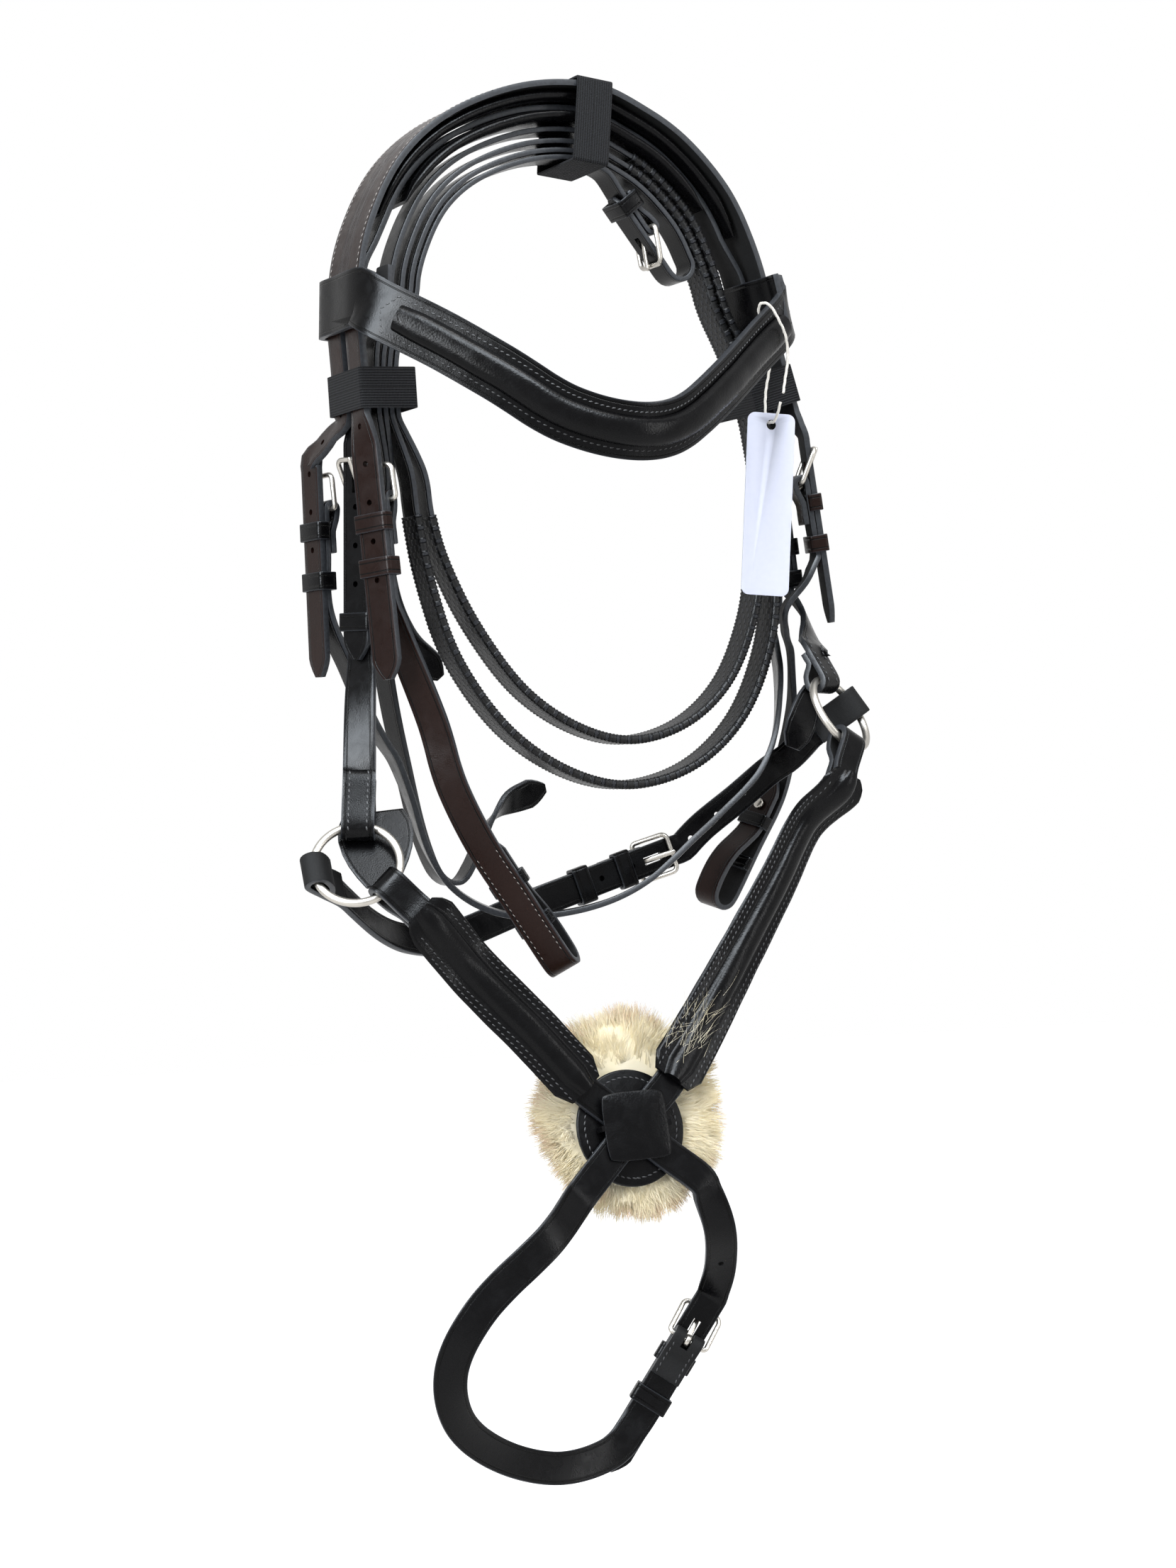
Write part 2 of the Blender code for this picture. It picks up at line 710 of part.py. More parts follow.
BROW_SHARES = (
    (-1.030, -0.40, -0.221), (-0.840, -0.58, -0.258), (-0.628, -0.75, -0.302),
    (-0.401, -0.86, -0.345), (-0.141, -0.92, -0.363), (0.110, -0.88, -0.352),
    (0.365, -0.75, -0.305), (0.690, -0.52, -0.233), (0.920, -0.36, -0.180))
BROW_LEANS = (-52, -42, -34, -28, -18, 4, 26, 38, 48)


def brow_rows():
    """Loop round the left side, the padded run across, and the loop on the right."""
    half = HEAD_W / 2 + GAP + STRAP_T / 2
    outer = -(STRAP_T / 2 + 5 * GAP)
    inner = 2 * STRAP_T + LOOSE + 2 * GAP + STRAP_T / 2 + 4 * GAP
    loops = []
    for from_right in (False, True):
        i = station_near(BROW_ZONE + BROW_W / 2, from_right)
        along = (CROWN[i + 1] - CROWN[i - 1]).normalized()
        if from_right:
            along = -along
        spots = ((inner * 0.72, -1.95), (inner * 0.62, -1.48), (inner * 0.9, -1.06),
                 (inner, -0.82), (inner, 0.0), (inner, 0.86), (inner * 0.75, 1.0),
                 (outer * 0.3, 1.0), (outer, 0.86), (outer, 0.0), (outer, -0.9),
                 (outer * 0.6, -1.25))
        loops.append([(CROWN[i] - CROWN_OUT[i] * n + Vector((0, y * half, 0)), along)
                      for n, y in spots])
    front = []
    for shares, lean in zip(BROW_SHARES, BROW_LEANS):
        turn = math.radians(lean)
        front.append((place(shares), Vector((math.sin(turn) * -0.55, -0.28, 1.0))))
    return loops[0], front, loops[1][::-1]


def build_browband():
    left, front, right = brow_rows()
    bridge = run([left[-1]] + front + [right[0]], 3)
    rows = left[:-1] + bridge + right[1:]
    band = strap("browband", rows, width=BROW_W)
    outline = [(a * BROW_W * 0.52, STRAP_T / 2 + 2 * GAP + b * BROW_PAD_T)
               for a, b in ((-0.5, 0.0), (-0.36, 0.7), (0.0, 1.0), (0.36, 0.7), (0.5, 0.0))]
    middle_rows = bridge[4:-4]
    front_facing = frames(middle_rows, False)
    if front_facing[len(front_facing) // 2][2].y > 0:
        outline = [(a, -b) for a, b in outline]
    scale = [1.0] * len(middle_rows)
    scale[0] = scale[-1] = 0.9
    pad = sweep("browband_padding", middle_rows, outline, BLACK_LEATHER, widths=scale)
    return band, pad


# Noseband: two padded straps that cross under the disc's cap

DISC_SHARES = (-0.010, -0.70, -1.207)
NOSE_LEFT_SHARES = ((-0.800, -0.40, -0.963), (-0.647, -0.45, -1.015), (-0.397, -0.54, -1.093),
                    (-0.190, -0.625, -1.163))
NOSE_RIGHT_SHARES = ((1.110, -0.43, -0.765), (0.960, -0.465, -0.835), (0.790, -0.505, -0.910),
                     (0.560, -0.565, -1.005), (0.350, -0.62, -1.091), (0.165, -0.67, -1.157))


def disc_frame():
    """Zone at the crossing: along is down, out is the disc's face."""
    centre = place(DISC_SHARES)
    left = (place(NOSE_LEFT_SHARES[-1]) - centre).normalized()
    right = (place(NOSE_RIGHT_SHARES[-1]) - centre).normalized()
    face = left.cross(right).normalized()
    if face.y > 0:
        face = -face
    down = -(left + right).normalized()
    across = face.cross(down)
    zone = Zone(centre, down, across)
    return zone, left, right


DISC, TOWARD_LEFT, TOWARD_RIGHT = disc_frame()
CROSS_N = STRAP_T + GAP
CROSS_RUN = 0.030

LOWER_BILLET_SHARES = ((0.365, -0.79, -1.335), (0.440, -0.65, -1.390))
LOWER_BILLET_SIDES = ((-0.80, 0.42, -0.40), (-0.87, 0.46, -0.10))
LOWER_CHAPE_SHARES = ((-0.498, -0.93, -1.326), (-0.785, -0.94, -1.394), (-0.897, -0.86, -1.467),
                      (-0.815, -0.74, -1.540), (-0.574, -0.62, -1.595), (-0.270, -0.53, -1.625),
                      (0.000, -0.475, -1.617))
LOWER_CHAPE_SIDES = ((-0.44, 0.23, 0.85), (-0.73, 0.39, 0.50), (-0.88, 0.45, 0.10),
                     (-0.66, 0.20, -0.60), (-0.40, -0.10, -0.85), (-0.10, -0.25, -0.95),
                     (0.26, -0.35, -0.90))
LOWER = zone_between((0.356, -0.48, -1.4875), (0.014, -0.36, -1.6525), 152, 28)
LOWER_TIP = 0.066
LOWER_STRAIGHT = 0.044


def cross_rows(start, level, reach_out, reach_in):
    """Straight rows through the disc from outside a strap's upper end to its lower end."""
    across = DISC.out.cross(start)
    lift = DISC.out * level
    spots = (reach_out, reach_out * 0.5, 0.0, -reach_in * 0.5, -reach_in)
    return [(DISC.origin + start * reach + lift, across) for reach in spots]


NOSE_START = 2


def build_nose_straps():
    """Left ring to the lower billet, right ring to the lower chape, each with its padding."""
    left_fold = LEFT_RING.fold(-38, place(NOSE_LEFT_SHARES[1]) - LEFT_RING.centre, flip=-1)
    across_left = DISC.out.cross(TOWARD_LEFT)
    upper = [(place(s), across_left) for s in NOSE_LEFT_SHARES[1:-1]]
    through = cross_rows(TOWARD_LEFT, 0.0, CROSS_RUN, CROSS_RUN * 1.5)
    lower = table(LOWER_BILLET_SHARES, LOWER_BILLET_SIDES)
    zone_rows = LOWER.line((*STRAIGHT_TOP, 0.0, LOWER_TIP / 2, LOWER_TIP))
    ring_part = run([left_fold[-2], left_fold[-1]] + upper + [through[0]], 4)
    lower_part = run([through[-1]] + lower + [zone_rows[0]], 4)
    rows = left_fold[:-2] + ring_part[:-1] + through[:-1] + lower_part[:-1] + zone_rows
    left = strap("left_nose_strap", rows, end_tip=True)
    nose_padding("left_nose_padding", ring_part[NOSE_START:])

    right_fold = RIGHT_RING.fold(240, place(NOSE_RIGHT_SHARES[1]) - RIGHT_RING.centre, flip=-1)
    across_right = DISC.out.cross(TOWARD_RIGHT)
    sides = [across_right.lerp(-turned(*NOSE_RIGHT_TURN), share) for share in NOSE_TWIST_SHARES]
    upper = [(place(s), side) for s, side in zip(NOSE_RIGHT_SHARES[1:-1], sides)]
    through = cross_rows(TOWARD_RIGHT, CROSS_N, CROSS_RUN, CROSS_RUN * 1.5)
    lower = table(LOWER_CHAPE_SHARES, LOWER_CHAPE_SIDES)
    buckle = Buckle("lower_nose", LOWER)
    chape = buckle.chape_rows(LOWER_STRAIGHT)[::-1]
    right_part = run([right_fold[-2], right_fold[-1]] + upper + [through[0]], 4)
    lower_part = run([through[-1]] + lower + [chape[0]], 3)
    rows = right_fold[:-2] + right_part[:-1] + through[:-1] + lower_part[:-1] + chape
    right = strap("right_nose_strap", rows)
    nose_padding("right_nose_padding", right_part[NOSE_START:])
    buckle.cut_chape(right)
    buckle.cut_billet(left)
    buckle.add_fixed_keeper(right)
    buckle.add_frame()
    buckle.add_tongue()
    buckle.add_runner(RUNNER_U - KEEPER_T)


NOSE_RIGHT_TURN = (27, -25)
NOSE_TWIST_SHARES = (0.9, 0.8, 0.6, 0.3)
NOSE_PAD_SHARES = ((-0.5, 0.0), (-0.46, 0.3), (-0.24, 0.42), (-0.16, 0.85), (0.0, 1.0),
                   (0.16, 0.85), (0.24, 0.42), (0.46, 0.3), (0.5, 0.0), (0.276, 0.0),
                   (-0.276, 0.0))


def nose_padding(name, rows):
    """Padded front of a nose strap, on the strap's own stations."""
    facing = frames(rows, False)[len(rows) // 2][2]
    flip = 1 if facing.dot(DISC.out) > 0 else -1
    outline = [(a * NOSE_PAD_W, flip * (STRAP_T / 2 + 2 * GAP + b * NOSE_PAD_T))
               for a, b in NOSE_PAD_SHARES]
    scale = [1.0] * len(rows)
    scale[0] = 0.6
    scale[1] = 0.85
    scale[-1] = 0.7
    return sweep(name, rows, outline, BLACK_LEATHER, widths=scale)


def slab(name, zone, outline, low, high, look, bevel_share=0.0):
    """Flat piece of the given outline between two depths, edges drawn in."""
    depth = high - low
    levels = ((low, 1.0 - bevel_share), (low + depth * 0.3, 1.0), (low + depth * 0.7, 1.0),
              (high, 1.0 - bevel_share))
    bm = bmesh.new()
    rings = []
    for n, scale in levels:
        rings.append([bm.verts.new(zone.at(a * scale, b * scale, n)) for a, b in outline])
    loft(bm, rings, False)
    return add_object(name, bm, look)


DISC_OVAL_SHARE = 1.03
FLEECE_WAVES = 7
FLEECE_WAVE_SHARE = 0.035
FLEECE_SIDES = 36
FLEECE_UP = 0.009
FLEECE_ASIDE = 0.005
BACKING_TOP = -(STRAP_T / 2 + GAP)
CAP_LOW = CROSS_N + STRAP_T / 2 + GAP


def build_disc():
    oval = [(DISC_R * DISC_OVAL_SHARE * a, DISC_R * b) for a, b in circle(1.0, 28)]
    backing = slab("disc_backing", DISC, oval, BACKING_TOP - DISC_T, BACKING_TOP,
                   BLACK_LEATHER, 0.04)
    rounded = []
    for sx, sy in ((1, 1), (-1, 1), (-1, -1), (1, -1)):
        for k in range(4):
            turn = math.atan2(sy, sx) + math.radians(-45 + 30 * k)
            rounded.append((CAP_HALF * 0.62 * sx + CAP_HALF * 0.38 * math.cos(turn),
                            CAP_HALF * 0.72 * sy + CAP_HALF * 0.38 * math.sin(turn)))
    cap = slab("disc_cover", DISC, rounded, CAP_LOW, CAP_LOW + DISC_T, BLACK_LEATHER, 0.06)
    for sign, side in ((-1, "left"), (1, "right")):
        reach = (CAP_HALF * 0.8, CAP_HALF * 1.02)
        ends = sorted((sign * reach[0], sign * reach[1]))
        leg = block("disc_cover_leg_" + side, DISC, (-DISC_R * 0.05, ends[0], BACKING_TOP + GAP),
                    (DISC_R * 0.05, ends[1], CAP_LOW + DISC_T / 2))
        combine(cap, leg, "UNION")
    waves = []
    for k in range(FLEECE_SIDES):
        turn = 2 * math.pi * k / FLEECE_SIDES
        reach = 1 + FLEECE_WAVE_SHARE * (math.sin(FLEECE_WAVES * turn)
                                         + 0.6 * math.cos(3 * turn + 1))
        waves.append((FLEECE_R * 1.06 * reach * math.cos(turn),
                      FLEECE_R * reach * math.sin(turn)))
    top = BACKING_TOP - DISC_T - GAP
    centre = Zone(DISC.at(-FLEECE_UP, FLEECE_ASIDE, 0), DISC.along, DISC.across)
    slab("sheepskin_pad", centre, waves, top - FLEECE_T, top, FLEECE, 0.14)
    return backing, cap


# Cheekpieces

LOOP_R = 0.0075
LOOP_RETURN = 0.060
LOOP_BACK_SHARES = (0.2, 0.3667, 0.5333, 0.65, 1.0)
STUD_U = -0.053
BIT_KEEPER_U = -0.044
LOW_KEEPER_U = -0.020
LEG_N = -(STRAP_T + KEEPER_T + 2 * GAP)


def bit_loop(zone):
    """Strap that turns back on itself to hold a bit; the main leg ends at u = 0."""
    rows = []
    for k in range(FOLD_STEPS + 1):
        turn = math.pi * k / FOLD_STEPS
        rows.append((zone.at(LOOP_R * math.sin(turn), 0, -LOOP_R + LOOP_R * math.cos(turn)),
                     zone.across))
    for back, n in zip(LOOP_BACK_SHARES, (LOOP_R * -2.05, LOOP_R * -1.75, LOOP_R * -1.1,
                                          LEG_N - GAP, LEG_N)):
        rows.append((zone.at(-LOOP_RETURN * back, 0, n), zone.across))
    return rows


LOOPS = {
    "left": zone_between((-0.514, -0.23, -0.862), (-0.200, -0.32, -1.005), -34),
    "right": zone_between((1.174, 0.24, -0.805), (0.944, 0.29, -0.939), 108)}
LOOP_MAIN = {"left": 0.0687, "right": 0.0604}
CHEEK_STRAIGHT = {"left": 0.050, "right": 0.040}
CHEEK_SHARES = {
    "left": ((-0.828, -0.14, -0.625), (-0.707, -0.16, -0.713), (-0.636, -0.19, -0.787)),
    "right": ((1.150, -0.130, -0.5175), (1.108, -0.025, -0.550), (1.160, 0.089, -0.580),
              (1.216, 0.144, -0.6075), (1.246, 0.182, -0.645), (1.257, 0.208, -0.6875),
              (1.240, 0.232, -0.745))}
CHEEK_TURNS = {
    "left": ((-54,), (-46,), (-40,)),
    "right": ((66,), (64,), (62,), (62,), (64,), (72,), (90,))}


def build_cheekpiece(side, zone, fastened):
    """Strap from the cheek buckle down to its folded bit loop, hook stud and keepers."""
    buckle = Buckle(side + "_cheek", zone, fastened)
    loop = LOOPS[side]
    end = Zone(loop.at(LOOP_MAIN[side], 0, 0), loop.along, loop.across)
    chape = buckle.chape_rows(CHEEK_STRAIGHT[side])
    path = [chape[-1]] + table(CHEEK_SHARES[side], CHEEK_TURNS[side])
    path += loop.line((0, LOOP_MAIN[side] * 0.5))
    rows = chape[:-1] + run(path, 3) + bit_loop(end)
    cheek = strap(side + "_cheekpiece", rows, look=BROWN_LEATHER, end_tip=True)
    buckle.cut_chape(cheek)
    buckle.add_fixed_keeper(cheek)
    buckle.add_frame()
    buckle.add_tongue()
    buckle.add_runner(RUNNER_U - 2 * KEEPER_T, look=BROWN_LEATHER)
    for name, u, back in (("_bit_keeper", BIT_KEEPER_U, LEG_N - STRAP_T / 2),
                          ("_low_keeper", LOW_KEEPER_U, LEG_N + STRAP_T / 2)):
        combine(cheek, bit_keeper(side + name, end, u, back), "UNION")
    add_hook_stud(side, end, cheek)
    return buckle


def bit_keeper(name, zone, u, back):
    """Loop sewn to the back of the main leg, for the returned end."""
    half = STRAP_W / 2 + GAP + KEEPER_T / 2
    deep = (back - GAP - KEEPER_T / 2, -(STRAP_T / 2 + KEEPER_T / 2 - GAP))
    return hoop(name, zone.at(u, 0, 0), zone.across, zone.out, zone.along,
                (-half, half), deep, KEEPER_W * 0.8, KEEPER_T, BLACK_LEATHER)


def add_hook_stud(side, zone, cheek):
    """Stud sewn to the main leg, its head behind the returned end."""
    start = -(STRAP_T / 2 + GAP)
    back = LEG_N - STRAP_T / 2
    shaft = STUD_SHAFT_R / STUD_R
    stations = [(zone.at(STUD_U, 0, n), zone.along) for n in
                (start, back - GAP, back - 2 * GAP, back - 2 * GAP - STUD_R / 2,
                 back - 2 * GAP - STUD_R * 0.7)]
    widths = (shaft, shaft, 1.0, 1.0, 0.6)
    sweep(side + "_hook_stud", stations, circle(STUD_R, 12), STEEL, widths=widths, depths=widths)
    hole = rod(side + "_stud_hole", zone, STUD_U, 0, LEG_N + STRAP_T, LEG_N - STRAP_T,
               STUD_SHAFT_R + 2 * GAP)
    combine(cheek, hole, "DIFFERENCE")


# Throat lash

LASH_SHARES = (
    (1.215, 0.27, -0.625), (1.146, 0.13, -0.675), (1.050, 0.00, -0.728), (0.945, -0.04, -0.775),
    (0.792, -0.03, -0.818), (0.592, -0.06, -0.862), (0.385, -0.06, -0.910),
    (0.200, -0.02, -0.938), (-0.004, 0.04, -0.953), (-0.200, 0.10, -0.956),
    (-0.360, 0.14, -0.944), (-0.500, 0.18, -0.915), (-0.598, 0.21, -0.868),
    (-0.660, 0.23, -0.812), (-0.740, 0.24, -0.755), (-0.850, 0.25, -0.705))
LASH_TURNS = ((68,), (62,), (58,), (56,), (56,), (57,), (58,), (58,), (60,), (62,), (64,), (66,),
              (72,), (78,), (84,), (90,))
RIGHT_LASH_STRAIGHT = 0.046


def build_throat_lash():
    left = Buckle("left_throat", LEFT_THROAT, fastened=False)
    right = Buckle("right_throat", RIGHT_THROAT)
    start = right.chape_rows(RIGHT_LASH_STRAIGHT)
    end = left.chape_rows()[::-1]
    path = [start[-1]] + table(LASH_SHARES, LASH_TURNS) + [end[0]]
    lash = strap("throat_lash", start[:-1] + run(path, 2)[:-1] + end)
    for buckle in (left, right):
        buckle.cut_chape(lash)
        buckle.add_fixed_keeper(lash)
        buckle.add_frame()
        buckle.add_tongue()
    left.add_runner()
    return left, right


# Jaw strap, from ring to ring behind the bit straps

JAW = zone_between((0.500, 0.28, -0.892), (0.050, 0.32, -0.937), -20, -68)
JAW_TIP = 0.062
JAW_RIGHT_SHARES = ((1.136, 0.0, -0.750), (1.080, 0.11, -0.770), (0.945, 0.17, -0.806),
                    (0.790, 0.22, -0.843))
JAW_RIGHT_TURNS = ((-29, -54), (-28, -56), (-26, -60), (-22, -65))
JAW_LEFT_SHARES = ((-0.420, 0.355, -0.985), (-0.640, 0.30, -0.985), (-0.840, 0.17, -0.965))
JAW_LEFT_TURNS = ((-30, -70), (-50, -68), (-75, -64))


def build_jaw():
    buckle = Buckle("jaw", JAW)
    fold = RIGHT_RING.fold(18, RIGHT_RING.behind(18, 0.55, 0.83), flip=-1)
    zone_rows = JAW.line((*STRAIGHT_TOP, 0.0, JAW_TIP / 2, JAW_TIP))
    rows = run([fold[-1]] + table(JAW_RIGHT_SHARES, JAW_RIGHT_TURNS) + [zone_rows[0]], 3)
    right = strap("right_jaw_strap", fold[:-1] + rows[:-1] + zone_rows, end_tip=True)
    fold = LEFT_RING.fold(192, LEFT_RING.behind(192, 0.52, 0.85), flip=-1)[::-1]
    chape = buckle.chape_rows(JAW_TIP + TIP_LEN + KEEPER_T)
    rows = run([chape[-1]] + table(JAW_LEFT_SHARES, JAW_LEFT_TURNS) + [fold[0]], 4)
    left = strap("left_jaw_strap", chape[:-1] + rows[:-1] + fold)
    buckle.cut_chape(left)
    buckle.cut_billet(right)
    buckle.add_fixed_keeper(left)
    buckle.add_frame()
    buckle.add_tongue()
    buckle.add_runner()
    return buckle


# Reins

REIN_SIDE = Vector((0, -1, 0))
OUTER_U_SHARES = (
    (-0.782, -0.02, -0.400), (-0.752, -0.02, -0.455), (-0.692, -0.02, -0.534),
    (-0.565, -0.02, -0.630), (-0.325, -0.02, -0.718), (-0.021, -0.02, -0.772),
    (0.289, -0.02, -0.788), (0.608, -0.02, -0.760), (0.852, -0.02, -0.694),
    (0.990, -0.02, -0.599), (1.022, -0.02, -0.500), (1.024, -0.02, -0.400))
INNER_U_SHARES = (
    (-0.722, -0.02, -0.400), (-0.686, -0.02, -0.455), (-0.620, -0.02, -0.513),
    (-0.473, -0.02, -0.590), (-0.249, -0.02, -0.668), (0.017, -0.02, -0.715),
    (0.289, -0.02, -0.730), (0.567, -0.02, -0.705), (0.780, -0.02, -0.647),
    (0.905, -0.02, -0.560), (0.942, -0.02, -0.474), (0.962, -0.02, -0.390))
TAIL_A_SHARES = (
    (-0.860, 0.06, -0.410), (-0.850, 0.17, -0.490), (-0.790, 0.29, -0.590),
    (-0.710, 0.38, -0.680), (-0.620, 0.43, -0.770), (-0.540, 0.45, -0.850),
    (-0.450, 0.46, -0.905), (-0.350, 0.46, -0.915), (-0.280, 0.45, -0.885),
    (-0.220, 0.44, -0.845), (-0.130, 0.43, -0.815), (-0.010, 0.42, -0.800))
TAIL_A_TURNS = ((-88,), (-86,), (-84,), (-84,), (-86,), (-88,), (-90,), (-90, 4), (-88, 14),
                (-80, 32), (-65, 52), (-45, 68))
TAIL_B_SHARES = (
    (-0.822, 0.10, -0.415), (-0.800, 0.20, -0.490), (-0.745, 0.26, -0.555),
    (-0.670, 0.27, -0.605), (-0.570, 0.26, -0.635))
TAIL_B_TURNS = ((-88,), (-84,), (-80, 14), (-66, 34), (-50, 52))
REIN_LOW = BAND_W + 0.002
SLEEVE_END_SHARE = 0.56

REIN_TIP = 0.014
REIN_STRAIGHT = 0.024
HAND_STATION = 32
HAND_TURN_R = 0.0075
HAND_LEAN = math.radians(14)


def rein_crown(index_left, index_crown, index_right, first, last):
    """Rows of one rein pass between two crown stations."""
    left = middle(LEFT_LAYERS, index_left)
    crown = middle(CROWN_LAYERS, index_crown)
    right = middle(RIGHT_LAYERS, index_right)
    return crown_rows(left, crown, right, first, last, REIN_LOW, REIN_FULL)


def rein_path(arm, tail, hand, grip, right, u_shares, tail_shares, tail_turns, hand_rows):
    """Whole rein: hand end, over the peg, the U, back over the crown, down the left."""
    down_left = rein_crown(arm, hand, right, 0, PEG_STATION)[::-1]
    loop = [(place(s), REIN_SIDE) for s in u_shares]
    up = rein_crown(tail, grip, right, 0, CROWN_END)[::-1]
    turns = [(place(s), turned(*t)) for s, t in zip(tail_shares, tail_turns)]
    lower = run([down_left[-2], down_left[-1]] + loop + [up[0], up[1]], 3)[3:-3]
    tail_part = run([up[-2], up[-1]] + turns, 3)[3:]
    rows = hand_rows + down_left[:-1] + lower[:-1] + up[:-1] + tail_part
    sleeve_start = len(hand_rows) + len(down_left) + 5
    sleeve_end = len(hand_rows) + len(down_left) - 1 + len(lower) - 1
    sleeve_end += int((CROWN_END + 1) * (1 - SLEEVE_END_SHARE))
    return rows, sleeve_start, sleeve_end


def build_rein(name, rows, sleeve_start, sleeve_end, start_tip, end_tip=True):
    rein = strap(name, rows, width=REIN_W, thickness=REIN_T, start_tip=start_tip,
                 end_tip=end_tip)
    bm = bmesh.new()
    inner = rectangle(REIN_W + 2 * GAP, REIN_T + 2 * GAP)
    outer = rectangle(REIN_W + 2 * (GAP + GRIP_WALL), GRIP_T)
    insides = []
    outsides = []
    for here, side, out in frames(rows, False)[sleeve_start:sleeve_end]:
        insides.append([bm.verts.new(here + side * a + out * b) for a, b in inner])
        outsides.append([bm.verts.new(here + side * a + out * b) for a, b in outer])
    for rings in (insides, outsides):
        for ring, following in zip(rings, rings[1:]):
            for k in range(4):
                j = (k + 1) % 4
                bm.faces.new((ring[k], ring[j], following[j], following[k]))
    for i in (0, -1):
        for k in range(4):
            j = (k + 1) % 4
            bm.faces.new((insides[i][k], insides[i][j], outsides[i][j], outsides[i][k]))
    add_object(name + "_grip", bm, RUBBER)
    return rein


def hand_zone(top):
    """Zone of the rein buckle, hung from the turned end of one rein at `top`."""
    here, out = top
    toward_peg = out.cross(INTO_WALL)
    along = toward_peg * math.cos(HAND_LEAN) - out * math.sin(HAND_LEAN)
    zone = Zone(here, along, INTO_WALL)
    return Zone(zone.at(-ZONE_TOP, 0, 2 * HAND_TURN_R), along, zone.across)


def build_reins():
    """Both reins, joined at the hand by a buckle that hangs under the crown."""
    over = rein_crown(6, 6, 4, PEG_STATION, HAND_STATION)[::-1]
    zone = hand_zone((over[0][0], CROWN_OUT[HAND_STATION]))
    buckle = Buckle("rein", zone)
    bends = []
    for k in range(1, 6):
        turn = math.pi * k / 6
        bends.append((zone.at(ZONE_TOP - HAND_TURN_R * math.sin(turn), 0,
                              -HAND_TURN_R + HAND_TURN_R * math.cos(turn)), zone.across))
    billet = zone.line((REIN_TIP, REIN_TIP / 2, 0.0, *STRAIGHT_TOP[::-1]))
    hand_a = billet + bends + over
    chape = buckle.chape_rows(REIN_STRAIGHT)
    under = rein_crown(7, 7, 5, PEG_STATION, PEG_STATION + 3)[::-1]
    hand_b = chape[:-1] + run([chape[-1]] + under, 2)
    path_a = rein_path(6, 4, 6, 4, 4, OUTER_U_SHARES, TAIL_A_SHARES, TAIL_A_TURNS, hand_a[:-1])
    rein_a = build_rein("left_rein", *path_a, start_tip=True)
    path_b = rein_path(7, 5, 7, 5, 5, INNER_U_SHARES, TAIL_B_SHARES, TAIL_B_TURNS, hand_b[:-1])
    rein_b = build_rein("right_rein", *path_b, start_tip=False)
    buckle.cut_chape(rein_b)
    buckle.cut_billet(rein_a)
    buckle.add_frame()
    buckle.add_tongue()
    buckle.add_runner(RETURN_LEN * 0.75, RETURN_N)
    return buckle


# Elastic bands

def crown_at(distance, from_right=False):
    """Place and out direction at a distance along the crown from one end."""
    target = CROWN_RUN[-1] - distance if from_right else distance
    i = max(k for k in range(CROWN_END) if CROWN_RUN[k] <= target)
    share = (target - CROWN_RUN[i]) / (CROWN_RUN[i + 1] - CROWN_RUN[i])
    along = (CROWN[i + 1] - CROWN[i]).normalized()
    return CROWN[i].lerp(CROWN[i + 1], share), BACKWARD.cross(along), along


def add_band(name, spot, depth):
    here, out, along = spot
    half = HEAD_W / 2 + BAND_CLEAR + BAND_T / 2
    inner = depth + BAND_CLEAR + BAND_BOW + BAND_T / 2
    outer = BAND_CLEAR + BAND_T / 2
    return hoop(name, here, INTO_WALL, out, along, (-half, half),
                (-inner, outer), BAND_W, BAND_T, ELASTIC)


LEFT_BAND_RUN = 0.013
RIGHT_BAND_RUN = 0.014


def build_bands():
    add_band("left_band", crown_at(LEFT_BAND_RUN), stack(LEFT_LAYERS))
    add_band("right_band", crown_at(RIGHT_BAND_RUN, from_right=True), stack(RIGHT_LAYERS))
    along = (CROWN[PEG_STATION + 1] - CROWN[PEG_STATION - 1]).normalized()
    peg = (CROWN[PEG_STATION], CROWN_OUT[PEG_STATION], along)
    add_band("crown_band", peg, stack(CROWN_LAYERS))


# Swing tag and its string

TAG = Zone(place((0.800, -0.45, -0.3250)), Vector((-0.045, 0, -1)), turned(-14))
TAG_TOP = 0.006
STRING_SHARES = (
    (0.8085, -0.524, -0.2975), (0.8025, -0.506, -0.3125), (0.800, -0.475, -0.3215),
    (0.800, -0.450, -0.3213), (0.799, -0.420, -0.3205), (0.800, -0.395, -0.310),
    (0.809, -0.380, -0.280), (0.8305, -0.378, -0.245), (0.805, -0.404, -0.225),
    (0.776, -0.428, -0.210), (0.749, -0.448, -0.195), (0.724, -0.472, -0.180),
    (0.722, -0.505, -0.1725), (0.747, -0.542, -0.177), (0.790, -0.548, -0.1955),
    (0.8265, -0.534, -0.211), (0.8535, -0.507, -0.229), (0.857, -0.497, -0.2475),
    (0.835, -0.515, -0.270), (0.819, -0.530, -0.286))


